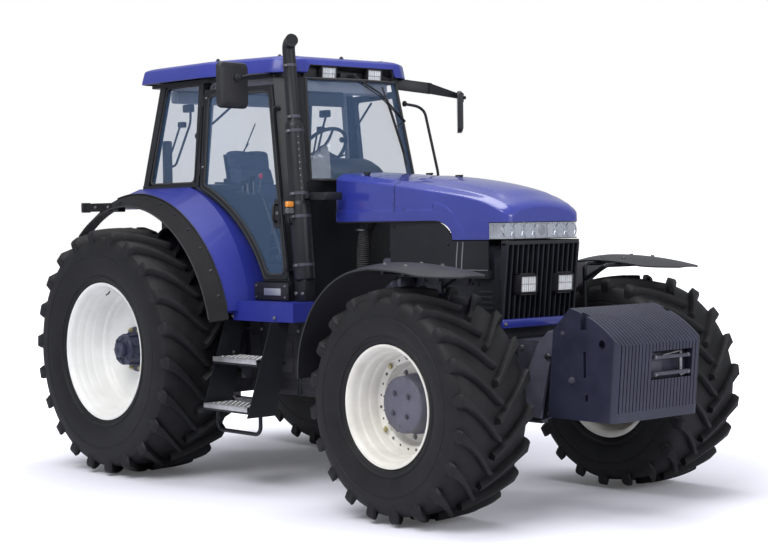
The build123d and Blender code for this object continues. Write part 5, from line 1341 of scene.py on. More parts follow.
def make_door_dress():
    """Seals, pull handle, grab bar, gas strut and hinge bolts of each door."""
    for side, sg in SIDES:
        b = Build()

        def put(points):
            return other_side([tuple(p) for p in points], sg)

        closed_tube(b, put(door_loop(0.044, -0.004)), 0.008, "mat", corner=0.05)
        closed_tube(b, put(door_loop(0.012, 0.000)), 0.006, "frame", corner=0.03)
        # Pull handle with its lock, on the front edge
        z0, z1 = 1.865, 1.985
        u = door_front_u(1.92) - 0.058
        loop = [door_point(u, z0, 0.0), door_point(u, z0, 0.045), door_point(u - 0.004, z1, 0.045),
                door_point(u - 0.004, z1, 0.0)]
        b.tube(rounded(put(loop), 0.025), 0.010, "plastic", 12)
        plate = [door_point(u - 0.03, z0 - 0.04, 0.0), door_point(u + 0.032, z0 - 0.04, 0.0),
                 door_point(u + 0.024, z1 + 0.04, 0.0), door_point(u - 0.03, z1 + 0.04, 0.0)]
        normal = DOOR_OUT if sg < 0 else Vector((DOOR_OUT.x, -DOOR_OUT.y, DOOR_OUT.z))
        b.plate(put(plate), normal * 0.008, "plastic")
        lock = put([door_point(u, 1.925, 0.005)])[0]
        b.disc(lock, normal, 0.013, 0.008, "steel", 20)
        # Inner grab bar
        inner = [door_point(u - 0.02, 1.62, -0.04), door_point(u - 0.02, 1.64, -0.085),
                 door_point(u - 0.22, 2.05, -0.085), door_point(u - 0.24, 2.07, -0.04)]
        b.tube(rounded(put(inner), 0.04), 0.012, "mat", 12)
        # Gas strut
        strut = [door_point(0.06, 2.60, -0.045), door_point(0.34, 2.78, -0.045)]
        b.tube(put(strut), 0.009, "frame", 10)
        for z in (2.25, 2.76):
            at = put([door_point(0.030, z + 0.025, 0.001)])[0]
            b.bolt(at, normal, 0.008, "steel")
        b.piece("door_dress_" + side, "door_" + side, "frame_metal")


def plan_ring(points, z):
    return [(x, -y, z) for x, y in points] + [(x, y, z) for x, y in reversed(points)]


def roof_plan(inset):
    return [(-1.831 + inset, 0.745 - inset), (-1.771 + inset * 0.4, 0.8 - inset), (-1.010, 0.8 - inset),
            (-0.330, 0.640 - inset), (-0.207 - inset, 0.492 - inset * 0.4)]


def soft_plan(inset):
    """The roof's plan with its corners rounded."""
    ring = plan_ring(roof_plan(inset), 0)
    k = len(ring) // 2
    edge = [(ring[k][0], y, 0) for y in (-0.43, -0.415, -0.40, -0.385, -0.2, 0, 0.2, 0.385, 0.40, 0.415,
                                         0.43)]
    ring = ring[:k] + edge + ring[k:]
    n = len(ring)
    out = []
    for i in range(n):
        a, p, c = Vector(ring[i - 1]), Vector(ring[i]), Vector(ring[(i + 1) % n])
        u, v = a - p, c - p
        cut = min(ROOF_CORNER_R, u.length * 0.45, v.length * 0.45)
        start, end = p + u.normalized() * cut, p + v.normalized() * cut
        for k in range(6):
            t = k / 5
            q = start * (1 - t) ** 2 + p * 2 * t * (1 - t) + end * t ** 2
            out.append((q.x, q.y))
    return out


def make_roof():
    """A moulded shell: rolled lower edge, leaning side, soft shoulder and a low crowned top."""
    b = Build()
    rows = [(0.012, 2.9305), (0.003, 2.9315), (0.0, 2.936), (0.003, 2.955), (0.018, 3.018), (0.022, 3.026),
            (0.030, 3.034), (0.045, 3.040), (0.075, 3.049), (0.110, 3.056), (0.17, 3.060), (0.26, 3.062)]
    loops = []
    for inset, z in rows:
        ring = []
        for x, y in soft_plan(inset):
            low = z
            if x > -0.27 and z < 2.99:
                low = max(z, z + (2.990 + (z - 2.93) * 0.06 - z) * smooth_step(0.425, 0.395, abs(y)))
            ring.append((x, y, low))
        loops.append(ring)
    b.rings(loops, "roof_paint", caps=(False, True))
    # Soffit, set up inside the rolled edge
    edge = loops[0]
    inner = [(x * 0.985 - 0.014, y * 0.975, max(z + 0.004, 2.944)) for x, y, z in edge]
    b.rings([edge, inner], "plastic", caps=(False, True))
    for x, y in ((-1.70, 0.55), (-1.70, -0.55), (-0.96, 0.66), (-0.96, -0.66), (-0.44, 0.49),
                 (-0.44, -0.49), (-0.33, 0.0)):
        z = 3.0585
        b.disc((x, y, z - 0.004), UP, 0.017, 0.010, "frame", 20)
        b.bolt((x, y, z + 0.005), UP, 0.011, "frame", washer=False)
    piece = b.piece("dressed_cab_roof", "chassis", "body_paint", smooth=26)
    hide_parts("cab_roof")
    # Black recess behind the roof lamps
    b = Build()
    b.box((-0.277, -0.415, 2.895), (-0.262, 0.415, 2.992), "plastic", 0.004)
    b.box((-0.275, -0.412, 2.984), (-0.213, 0.412, 2.994), "plastic", 0.003)
    for sg in (1, -1):
        b.slab(-0.275, -0.217, sg * 0.410, 0.006, 2.930, 2.992, "plastic", 0.003)
    b.box((-0.262, -0.10, 2.905), (-0.222, 0.06, 2.945), "plastic", 0.006)
    b.piece("lamp_recess", "chassis", "dark_plastic")


def make_wiper():
    """Wiper on its spindle over the windscreen, with a double arm and a long blade."""
    b = Build()
    spindle = Vector((-0.165, -0.016, 2.918))
    hinge = screen_point(0.94, 2.60, 0.050)
    b.disc(spindle - Vector((0.05, 0, 0)), FRONT, 0.016, 0.066, "frame", 18)
    b.tube([spindle, screen_point(0.35, 2.80, 0.055), hinge], [0.009, 0.007, 0.006], "frame", 10)
    b.tube([spindle + Vector((0, 0.012, -0.028)), screen_point(0.37, 2.775, 0.048),
            hinge + Vector((-0.008, 0, -0.008))], 0.0045, "frame", 8)
    top, low = screen_point(0.56, 2.85, 0.010), screen_point(0.86, 2.27, 0.010)
    blade = [top.lerp(low, t / 12) + Vector((0.004 * sin(pi * t / 12), 0, 0)) for t in range(13)]
    b.tube(blade, 0.0065, "mat", 8)
    b.tube([p + Vector((0.013, 0, 0)) for p in blade[2:11]], 0.0045, "frame", 8)
    for p in (blade[2], blade[6], blade[10]):
        b.tube([p, p + Vector((0.014, 0, 0))], 0.005, "frame", 8)
    b.tube([hinge, blade[6] + Vector((0.018, 0, 0))], 0.005, "frame", 8)
    b.piece("wiper", "chassis", "dark_plastic")


def soft_ring(turn, d, w, h, r, n):
    """Points of a rectangle with round corners, n points to each."""
    ring = []
    for k, (sy, sz) in enumerate(((1, 1), (-1, 1), (-1, -1), (1, -1))):
        cy, cz = sy * (w - r), sz * (h - r)
        for i in range(n):
            a = pi / 2 * (k + i / (n - 1))
            ring.append(turn @ Vector((d, cy + r * cos(a), cz + r * sin(a))))
    return ring


def mirror_head(b, at, half_w, half_h, yaw, depth):
    """Housing with a domed back, rounded corners and a glass; yaw turns its glass from the rear."""
    turn = Matrix.Translation(at) @ Matrix.Rotation(yaw, 4, "Z")
    rows = ((-0.014, 0.90), (-0.018, 0.985), (-0.010, 1.0), (0.010, 1.0), (depth * 0.75, 0.95),
            (depth, 0.80))
    b.rings([soft_ring(turn, d, half_w * grow, half_h * grow, 0.035 * grow, 7) for d, grow in rows],
            "plastic")
    b.rings([soft_ring(turn, d, half_w * 0.9, half_h * 0.93, 0.03, 6) for d in (-0.0175, -0.0148)],
            "mirror")
    return turn


def make_mirrors():
    """Both mirrors with their arms."""
    b = Build()
    # Right head on a short arm from the roof rail
    turn = mirror_head(b, (-0.3, -1.026, 2.820), 0.135, 0.160, radians(6), 0.032)
    b.disc(turn @ Vector((0.030, 0.02, 0.05)), FRONT, 0.026, 0.020, "frame", 24)
    b.bolt(turn @ Vector((0.050, 0.02, 0.05)), FRONT, 0.012, "frame")
    b.tube(rounded([(-0.40, -0.585, 2.914), (-0.36, -0.70, 2.912), (-0.27, -0.90, 2.890),
                    (-0.245, -0.985, 2.872)], 0.05), 0.013, "frame", 14)
    b.box((-0.424, -0.606, 2.902), (-0.376, -0.56, 2.926), "frame", 0.004)
    b.bolt((-0.40, -0.60, 2.914), (0, -1, 0), 0.010, "steel")
    # Left head turned away, on a channel arm and a tapering strut
    turn = mirror_head(b, (-0.30, 1.18, 2.70), 0.112, 0.160, radians(47), 0.028)
    b.box((-0.424, 0.56, 2.902), (-0.376, 0.606, 2.926), "frame", 0.004)
    arm = [Vector((-0.40, 0.575, 2.905)), Vector((-0.30, 0.877, 2.872))]
    mid = (arm[0] + arm[1]) / 2
    lean = (arm[1] - arm[0]).to_track_quat("Y", "Z").to_matrix().to_4x4()
    half = (arm[1] - arm[0]).length / 2
    frame_at = Matrix.Translation(mid) @ lean
    b.box((0.006, -half, -0.042), (0.013, half, 0.042), "frame", 0.002, frame_at)
    b.box((-0.02, -half, 0.036), (0.013, half, 0.042), "frame", 0.002, frame_at)
    b.box((-0.02, -half, -0.042), (0.013, half, -0.036), "frame", 0.002, frame_at)
    strut = [arm[1] + Vector((0, -0.03, -0.040)), Vector((-0.295, 1.20, 2.800)),
             Vector((-0.295, 1.20, 2.834)), arm[1] + Vector((0, -0.03, 0.042))]
    b.plate(strut, (0.016, 0, 0), "frame")
    for at in ((-0.30, 1.20, 2.838), (-0.30, 1.225, 2.815), (-0.30, 1.20, 2.79)):
        b.disc((at[0] - 0.02, at[1], at[2]), FRONT, 0.014, 0.04, "frame", 18)
    b.tube([(-0.295, 1.195, 2.84), (-0.298, 1.19, 2.74)], 0.010, "frame", 12)
    piece = b.piece("dressed_mirrors", "chassis", "dark_plastic")
    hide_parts("mirrors")


def make_exhaust():
    """Muffler, stack with clamps and a riveted heat shield, and the turned outlet."""
    b = Build()
    low, top = Vector((0.007, -0.65, 1.447)), Vector((-0.122, -0.65, 2.931))

    def along(z):
        return low + (top - low) * ((z - low.z) / (top.z - low.z))

    axis = (top - low).normalized()
    start = along(1.447)

    def d(z):
        return (along(z) - start).length

    profile = [(0.040, d(1.447)), (0.062, d(1.450)), (0.073, d(1.462)), (0.075, d(1.475)),
               (0.075, d(1.975)), (0.072, d(1.990)), (0.066, d(2.000)), (0.065, d(2.01)), (0.065, d(2.535)),
               (0.062, d(2.550)), (0.050, d(2.565)), (0.047, d(2.575)), (0.047, d(2.99)), (0.047, d(3.0))]
    b.lathe(profile, start, axis, "frame", 48)
    bend = along(3.0)
    tip = bend + Vector((0.070, -0.030, 0.135))
    path = rounded([along(2.98), along(3.11), tip], 0.075, 12)
    b.tube(path, 0.0455, "frame", 36, caps=True)
    end = (path[-1] - path[-2]).normalized()
    b.lathe([(0.0455, -0.02), (0.0462, 0.0), (0.0455, 0.003), (0.041, 0.003), (0.040, -0.012),
             (0.0001, -0.014)], path[-1] - end * 0.001, end, "mat", 36)
    for z, r in ((1.56, 0.075), (1.90, 0.075), (2.06, 0.065), (2.50, 0.065), (2.60, 0.047), (2.96, 0.047)):
        b.lathe([(r - 0.001, -0.011), (r + 0.003, -0.010), (r + 0.003, 0.010), (r - 0.001, 0.011)],
                along(z), axis, "cast", 48, closed=True)
        at = along(z) + Vector((0.02, -r - 0.004, 0))
        b.box((-0.013, -0.010, -0.009), (0.013, 0.004, 0.009), "steel", 0.003, Matrix.Translation(at))
        b.bolt(at + Vector((0, -0.008, 0)), (0, -1, 0), 0.006, "steel", washer=False)
    for k in range(9):
        z = 2.10 + 0.045 * k
        for a in (radians(200), radians(340)):
            c = along(z) + Vector((0.0652 * cos(a), 0.0652 * sin(a), 0))
            b.disc(c, (cos(a), sin(a), 0), 0.0045, 0.003, "steel", 10)
    b.box((-0.05, -0.70, 1.304), (0.06, -0.60, 1.467), "frame", 0.008)
    b.box((-0.083, -0.61, 2.035), (-0.03, -0.561, 2.065), "frame", 0.004)
    b.box((0.04, -0.63, 2.012), (0.215, -0.47, 2.066), "frame", 0.008)
    b.box((0.0, -0.66, 2.022), (0.06, -0.60, 2.056), "frame", 0.006)
    for x in (-0.03, 0.04):
        b.bolt((x, -0.70, 1.36), (0, -1, 0), 0.011, "steel")
    piece = b.piece("dressed_exhaust", "chassis", "frame_metal")
    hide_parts("exhaust")


def make_cab_fittings():
    """Outside fittings: marker lamps, sill boxes with blank plates, and the rear wall's ribs."""
    b = Build()
    for sg in (1, -1):
        # Marker lamp beside the front post, amber over white
        x, y = -0.020, sg * 0.760
        b.slab(x - 0.028, x - 0.006, y, 0.035, 1.915, 2.012, "plastic", 0.006)
        b.slab(x - 0.008, x + 0.016, y, 0.031, 1.966, 2.006, "amber", 0.008)
        b.slab(x - 0.008, x + 0.016, y, 0.031, 1.921, 1.962, "lens", 0.008)
        b.tube(rounded([(x - 0.018, y, 1.93), (x - 0.018, y - sg * 0.01, 1.85),
                        (x - 0.075, y - sg * 0.19, 1.84)], 0.03), 0.009, "frame", 10)
        b.box((-0.20, sg * 0.56 - 0.02, 1.80), (-0.09, sg * 0.58 + 0.02, 1.88), "frame", 0.006)
        # Sill box with a blank plate
        b.slab(-0.455, -0.075, sg * 0.735, 0.012, 1.310, 1.432, "plastic", 0.010)
        b.slab(-0.335, -0.145, sg * 0.7485, 0.002, 1.345, 1.395, "silver", 0.002)
        for x2 in (-0.43, -0.10):
            for z in (1.33, 1.41):
                b.bolt((x2, sg * 0.747, z), (0, sg, 0), 0.007, "steel")
    # Pressed ribs of the rear wall
    for k in range(6):
        y = -0.45 + 0.18 * k
        b.slab(-1.786, -1.770, y, 0.03, 1.42, 2.04, "frame", 0.008)
    b.piece("cab_fittings", "chassis", "dark_plastic")


def make_quarter_openers():
    """Quarter windows' opener arms, grips, catches and hinges."""
    b = Build()
    for sg in (1, -1):
        def side_point(x, z, inward):
            return (x, -(0.8 - (z - SHELF_Z) * TUMBLEHOME) + inward, z)

        arm = [side_point(-1.318, 2.70, 0.08), side_point(-1.34, 2.62, 0.10), side_point(-1.50, 2.30, 0.10),
               side_point(-1.57, 2.295, 0.06)]
        b.tube(rounded(other_side(arm, sg), 0.03), 0.009, "frame", 12)
        grip = [side_point(-1.44, 2.60, 0.075), side_point(-1.52, 2.42, 0.075),
                side_point(-1.60, 2.29, 0.07)]
        b.tube(rounded(other_side(grip, sg), 0.05), 0.008, "frame", 12)
        at = other_side([side_point(-1.405, 2.61, 0.07)], sg)[0]
        b.slab(at[0] - 0.035, at[0] + 0.035, at[1], 0.02, at[2] - 0.022, at[2] + 0.022, "frame", 0.010)
        at = other_side([side_point(-1.33, 2.73, 0.07)], sg)[0]
        b.slab(at[0] - 0.06, at[0] + 0.05, at[1], 0.02, at[2] - 0.03, at[2] + 0.03, "frame", 0.012)
        at = other_side([side_point(-1.155, 2.513, 0.03)], sg)[0]
        b.disc((at[0], at[1], at[2]), (0, -sg, 0), 0.022, 0.05, "frame", 24)
    b.piece("quarter_openers", "chassis", "dark_plastic")


def make_interior():
    """Headliner, sun visor, post trims, console with levers, pedals, fire bottle and storage box."""
    b = Build()
    b.rings([plan_ring(roof_plan(0.15), 2.885), plan_ring(roof_plan(0.145), 2.905)], "liner")
    b.box((-1.70, -0.58, 2.79), (-1.60, 0.58, 2.885), "liner", 0.02)
    b.box((-0.43, -0.42, 2.80), (-0.29, 0.42, 2.885), "liner", 0.02)
    b.box((-0.62, -0.22, 2.855), (-0.34, 0.22, 2.888), "cloth", 0.012)
    b.tube([(-0.30, -0.36, 2.80), (-0.30, -0.02, 2.80)], 0.010, "frame", 10)
    b.box((-0.305, -0.37, 2.70), (-0.297, -0.01, 2.80), "plastic", 0.003)
    for sg in (1, -1):
        trim = other_side([(-1.118, -0.73, 2.14), (-1.06, -0.70, 2.14), (-1.03, -0.64, 2.88),
                           (-1.09, -0.65, 2.88)], sg)
        b.plate(trim, (0, -0.02, 0), "liner")
        b.slab(-1.73, -1.15, sg * 0.62, 0.035, 1.36, 2.125, "plastic", 0.02)
        b.slab(-1.70, -1.64, sg * 0.64, 0.03, 2.15, 2.50, "plastic", 0.015)
    # Right console with its levers, left armrest
    console = [(-1.40, -0.31, 1.36), (-0.86, -0.31, 1.36), (-0.80, -0.31, 1.90), (-0.86, -0.31, 2.06),
               (-1.02, -0.31, 2.10), (-1.30, -0.31, 2.12), (-1.40, -0.31, 2.06)]
    b.plate(console, (0, -0.20, 0), "plastic")
    b.box((-1.34, -0.50, 2.10), (-1.06, -0.33, 2.155), "mat", 0.02)
    b.box((-1.36, 0.29, 2.06), (-1.02, 0.37, 2.11), "mat", 0.02)
    b.box((-1.33, 0.30, 1.86), (-1.29, 0.35, 2.07), "frame", 0.008)
    for i, (x, y, lean) in enumerate(((-0.90, -0.35, 0.03), (-0.91, -0.39, 0.0), (-0.92, -0.43, -0.02),
                                      (-0.95, -0.47, 0.02))):
        b.tube([(x, y, 2.05), (x + lean, y, 2.20 - 0.015 * i)], 0.006, "steel", 10)
        b.lathe([(0.008, 0), (0.016, 0.010), (0.017, 0.030), (0.010, 0.042), (0.0001, 0.045)],
                (x + lean, y, 2.185 - 0.015 * i), UP, "frame" if i else "red", 20)
    b.lathe([(0.020, 0), (0.026, 0.02), (0.022, 0.09), (0.026, 0.12), (0.012, 0.14), (0.0001, 0.142)],
            (-0.98, -0.36, 2.08), (0.15, 0, 1), "frame", 24)
    # Pedals
    for y in (0.16, -0.12, -0.19):
        b.tube(rounded([(-0.34, y, 1.62), (-0.44, y, 1.56), (-0.50, y, 1.45)], 0.04), 0.010, "frame", 10)
        b.box((-0.035, -0.032, -0.006), (0.035, 0.032, 0.006), "mat", 0.003,
              Matrix.Translation((-0.52, y, 1.452)) @ Matrix.Rotation(radians(-50), 4, "Y"))
    # Fire bottle behind the seat and a storage box on the left
    b.lathe([(0.02, 0), (0.055, 0.01), (0.055, 0.30), (0.03, 0.34), (0.015, 0.36), (0.0001, 0.362)],
            (-1.62, -0.43, 1.355), UP, "red", 28)
    b.box((-1.30, 0.36, 1.36), (-0.95, 0.56, 1.74), "plastic", 0.02)
    b.box((-1.29, 0.37, 1.74), (-0.96, 0.55, 1.80), "cloth", 0.02)
    b.piece("cab_interior", "chassis", "dark_plastic")


WHEEL_AT, COLUMN_FOOT = Vector((-0.547, 0, 2.385)), Vector((-0.40, 0, 2.26))


def make_dashboard():
    """Binnacle with its dials, the cowl under the windscreen and the steering column."""
    b = Build()
    rows = []
    outline = [(-0.146, 1.355), (-0.146, 2.215), (-0.20, 2.262), (-0.29, 2.308), (-0.36, 2.328),
               (-0.42, 2.330), (-0.445, 2.315), (-0.466, 2.255), (-0.455, 2.225), (-0.34, 2.11),
               (-0.332, 2.08), (-0.332, 1.355)]
    for y, k in ((-0.258, 0.93), (-0.250, 0.985), (-0.235, 1.0), (0.235, 1.0), (0.250, 0.985),
                 (0.258, 0.93)):
        rows.append([(-0.25 + (x + 0.25) * k if z > 1.4 else x, y, 1.9 + (z - 1.9) * k if z > 1.9 else z)
                     for x, z in outline])
    b.rings(rows, "plastic")
    # Cowl that spreads under the windscreen
    shelf = [[(-0.13, -0.50, 2.13), (-0.13, 0.50, 2.13), (-0.42, 0.30, 2.12), (-0.42, -0.30, 2.12)],
             [(-0.13, -0.48, 2.175), (-0.13, 0.48, 2.175), (-0.40, 0.27, 2.20), (-0.40, -0.27, 2.20)]]
    b.rings(shelf, "plastic")
    # Instrument face with dials, no figures
    turn = Matrix.Translation((-0.457, 0, 2.285)) @ Matrix.Rotation(radians(-72), 4, "Y")
    for y, r in ((-0.10, 0.045), (0.0, 0.052), (0.10, 0.045)):
        at = turn @ Vector((0, y, 0.002))
        out = (turn.to_3x3() @ Vector(UP)).normalized()
        b.lathe([(r, 0), (r + 0.004, 0.003), (r + 0.004, 0.008), (r, 0.008)], at, out, "frame", 28,
                closed=True)
        b.disc(at, out, r, 0.004, "silver", 28)
    column = (WHEEL_AT - COLUMN_FOOT).normalized()
    b.lathe([(0.05, -0.02), (0.046, 0.0), (0.034, 0.05), (0.030, 0.19), (0.0001, 0.191)], COLUMN_FOOT,
            column, "plastic", 28)
    for sg in (1, -1):
        b.tube([(-0.47, sg * 0.03, 2.32), (-0.50, sg * 0.16, 2.36)], 0.006, "frame", 10)
    piece = b.piece("dressed_dashboard", "chassis", "dark_plastic")
    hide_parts("dashboard")


def make_steering_wheel():
    """Rim, three spokes and hub, tilted to the seat."""
    b = Build()
    tilt = radians(50)
    axis = Vector((-sin(tilt), 0, cos(tilt)))
    centre = WHEEL_AT + axis * 0.018
    side = Vector((0, 1, 0))
    up = axis.cross(side)
    ring = [(0.2 + 0.0135 * cos(2 * pi * k / 14), 0.0135 * sin(2 * pi * k / 14)) for k in range(14)]
    b.lathe(ring, centre, axis, "mat", 72, closed=True)
    for a in (radians(20), radians(160), radians(270)):
        out = side * cos(a) + up * sin(a)
        b.tube([centre + out * 0.035, centre + out * 0.11 + axis * -0.008, centre + out * 0.192],
               [0.014, 0.011, 0.009], "mat", 12)
    b.lathe([(0.030, -0.017), (0.044, -0.010), (0.046, 0.006), (0.038, 0.014), (0.0001, 0.016)], centre,
            axis, "plastic", 32)
    piece = b.piece("dressed_steering_wheel", "chassis", "dark_plastic")
    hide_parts("steering_wheel")


# Seat: foam under cloth, puffed by a cloth simulation

SEAT_VOXEL = 0.0065
SEAT_PRESSURE = 4.0
SEAT_SWELL = 0.022
PUFF_FRAMES = 20
CHANNEL_HALF = 0.014


def cushion_base(name, lo, hi, taper=1.0, shift=0.0, bevel=0.05):
    """A closed block with eased edges, drawn in and leaned back towards its top."""
    bm = bmesh.new()
    bmesh.ops.create_cube(bm, size=1)
    for v in bm.verts:
        top = v.co.z > 0
        k = taper if top else 1.0
        mid_y = (lo[1] + hi[1]) / 2
        y = lo[1] + (v.co.y + 0.5) * (hi[1] - lo[1])
        v.co = Vector((lo[0] + (v.co.x + 0.5) * (hi[0] - lo[0]) + (shift if top else 0),
                       mid_y + (y - mid_y) * k, lo[2] + (v.co.z + 0.5) * (hi[2] - lo[2])))
    bmesh.ops.bevel(bm, geom=bm.edges[:], offset=bevel, segments=4, profile=0.6, affect="EDGES")
    mesh = bpy.data.meshes.new(name)
    bm.to_mesh(mesh)
    bm.free()
    obj = bpy.data.objects.new(name, mesh)
    bpy.context.scene.collection.objects.link(obj)
    return obj


def puff(obj):
    """Remesh, let cloth puff out for a few frames, and keep each point near its start."""
    bpy.context.view_layer.objects.active = obj
    obj.select_set(True)
    remesh = obj.modifiers.new("remesh", "REMESH")
    remesh.mode = "VOXEL"
    remesh.voxel_size = SEAT_VOXEL
    bpy.ops.object.modifier_apply(modifier="remesh")
    start = [v.co.copy() for v in obj.data.vertices]
    cloth = obj.modifiers.new("cloth", "CLOTH")
    cloth.settings.use_pressure = True
    cloth.settings.uniform_pressure_force = SEAT_PRESSURE
    cloth.settings.effector_weights.gravity = 0
    cloth.settings.quality = 5
    cloth.point_cache.frame_start = 1
    cloth.point_cache.frame_end = PUFF_FRAMES
    scene = bpy.context.scene
    for f in range(1, PUFF_FRAMES + 1):
        scene.frame_set(f)
    moved = obj.evaluated_get(bpy.context.evaluated_depsgraph_get()).data
    ends = [v.co.copy() for v in moved.vertices]
    obj.modifiers.remove(cloth)
    scene.frame_set(1)
    for v, a, e in zip(obj.data.vertices, start, ends):
        step = e - a
        if step.length > SEAT_SWELL:
            step *= SEAT_SWELL / step.length
        v.co = a + step
    obj.select_set(False)


def channels(obj, places, axis, depth, lowest=0.0):
    """Press sewn channels into a cushion above a height: grooves across the given axis."""
    for v in obj.data.vertices:
        for place in places:
            d = abs(v.co[axis] - place)
            if d < CHANNEL_HALF and v.co.z > lowest:
                v.co += -v.normal * depth * (1 - smooth_step(0, CHANNEL_HALF, d))


def make_seat():
    """Pad and back, puffed, sewn into channels and joined to one piece."""
    base = cushion_base("seat_pad", (-1.365, -0.235, 1.752), (-0.912, 0.235, 1.868), bevel=0.035)
    puff(base)
    channels(base, (-1.24, -1.04), 0, 0.010, 1.83)
    channels(base, (-0.15, 0.15), 1, 0.010, 1.83)
    back = cushion_base("seat_back", (-1.405, -0.232, 1.890), (-1.292, 0.232, 2.43), taper=0.80,
                        shift=-0.165, bevel=0.04)
    puff(back)
    channels(back, (2.03, 2.16, 2.29), 2, 0.009)
    for pad in (base, back):
        pad.data.materials.clear()
        pad.data.materials.append(M["cloth"])
        pad.data.polygons.foreach_set("use_smooth", [True] * len(pad.data.polygons))
    bpy.context.view_layer.objects.active = base
    base.select_set(True)
    back.select_set(True)
    bpy.ops.object.join()
    base.select_set(False)
    base.name = "dressed_seat"
    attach(base, "chassis")
    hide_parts("seat")


def make_seat_base():
    """Scissor suspension behind a bellows boot, on a turntable."""
    b = Build()
    b.box((-1.34, -0.18, 1.354), (-1.00, 0.18, 1.38), "frame", 0.006)
    boot = []
    for k in range(17):
        z = 1.38 + 0.29 * k / 16
        e = 0.012 if k % 2 else 0.0
        boot.append([(-1.31 + e, -0.155 + e, z), (-1.03 - e, -0.155 + e, z), (-1.03 - e, 0.155 - e, z),
                     (-1.31 + e, 0.155 - e, z)])
    b.rings(boot, "mat")
    b.box((-1.35, -0.19, 1.67), (-0.97, 0.19, 1.70), "frame", 0.006)
    b.box((-1.36, -0.21, 1.70), (-0.93, 0.21, 1.742), "plastic", 0.012)
    b.tube([(-0.99, -0.10, 1.715), (-0.94, -0.10, 1.712), (-0.90, -0.10, 1.712)], 0.008, "steel", 10)
    b.lathe([(0.012, 0), (0.022, 0.006), (0.022, 0.028), (0.012, 0.034)], (-1.15, -0.21, 1.72), (0, -1, 0),
            "frame", 20)
    shell = [(-1.412, -0.20, 1.88), (-1.575, -0.165, 2.40), (-1.575, 0.165, 2.40), (-1.412, 0.20, 1.88)]
    b.plate(shell, (-0.018, 0, -0.004), "plastic")
    piece = b.piece("dressed_seat_base", "chassis", "dark_plastic")
    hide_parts("seat_base")


def make_hand_rails():
    """The near rail as it is; the far one stands further out, as its bracket does."""
    b = Build()
    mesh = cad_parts["hand_rails"].data
    spots = {}
    faces = []
    for p in mesh.polygons:
        if all(mesh.vertices[i].co.y < 0 for i in p.vertices):
            faces.append([spots.setdefault(i, len(spots)) for i in p.vertices])
    b.add([mesh.vertices[i].co.copy() for i in spots], faces, "frame")
    b.tube(rounded([(-0.175, 0.470, 2.735), (-0.150, 0.600, 2.718), (-0.146, 0.664, 2.680),
                    (-0.055, 0.712, 2.20), (-0.075, 0.690, 1.95), (-0.115, 0.585, 1.90)], 0.045), 0.011,
           "frame", 12)
    for at in ((-0.172, 0.474, 2.735), (-0.112, 0.590, 1.90)):
        b.disc(at, (0, 1, 0), 0.022, 0.016, "frame", 20)
    piece = b.piece("dressed_hand_rails", "chassis", "frame_metal")
    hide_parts("hand_rails")


def make_lamps():
    """Grille and roof lamps with their brackets, and the tail lamps."""
    b = Build()
    for sg in (1, -1):
        square_lamp(b, (1.7135, sg * GRILLE_LAMP_Y, GRILLE_LAMP_Z), 0.057, (1, 0, -0.06), 0.085, 0.078)
        y = sg * ROOF_LAMP_Y
        square_lamp(b, (-0.2055, y, 2.931), 0.050, (1, 0, -0.08), 0.05, 0.072)
        b.slab(-0.250, -0.232, y, 0.03, 2.900, 2.955, "frame", 0.003)
    for sg in (1, -1):
        # Tail lamps on the ends of the rear bars
        y = sg * TAIL_BAR_Y
        b.slab(-2.182, -2.174, y, 0.030, 1.962, 2.026, "plastic", 0.002)
        b.slab(-2.196, -2.180, y, 0.028, 1.964, 2.024, "red", 0.005)
    piece = b.piece("dressed_work_lamps", "chassis", "lamp_glass")
    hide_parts("work_lamps")


def make_cab():
    make_seals()
    make_door_dress()
    make_roof()
    make_wiper()
    make_mirrors()
    make_exhaust()
    make_cab_fittings()
    make_quarter_openers()
    make_interior()
    make_dashboard()
    make_steering_wheel()
    make_seat()
    make_seat_base()
    make_hand_rails()
    make_lamps()


# Rear: fenders, tail bars, steps, tanks, linkage and what shows from below

def arc_points(r, start, end, n, y):
    """Points of an arc about the rear axle, from the front over the top."""
    out = []
    for i in range(n + 1):
        a = radians(start + (end - start) * i / n)
        out.append(Vector((REAR_X + r * cos(a), y, REAR_Z + r * sin(a))))
    return out


def make_fender_trim():
    """Lips and bolts of the flares, and the ends and bolts of the tail bars."""
    b = Build()
    for sg in (1, -1):
        # Lip along the flare's outer edge and a bead where it meets the fender
        b.tube(arc_points(1.076, 14, 127, 40, sg * 1.108), 0.007, "mat", 8)
        b.tube(arc_points(1.168, 17, 103, 36, sg * 1.002), 0.006, "frame", 8)
        for k in range(9):
            a = radians(22 + 10 * k)
            at = (REAR_X + 1.141 * cos(a), sg * 1.03, REAR_Z + 1.141 * sin(a))
            b.bolt(at, (0.76 * cos(a), sg * 0.65, 0.76 * sin(a)), 0.010, "frame")
        # Tail bar: end cap, bolts and its clamp on the flare
        b.slab(-2.184, -2.15, sg * TAIL_BAR_Y, 0.034, 1.956, 2.032, "frame", 0.006)
        for x in (-1.80, -1.98):
            b.bolt((x, sg * 1.1005, 1.994), (0, sg, 0), 0.011, "steel")
        b.slab(-1.74, -1.66, sg * TAIL_BAR_Y, 0.034, 1.956, 2.034, "frame", 0.008)
    b.piece("fender_trim", "chassis", "dark_plastic")


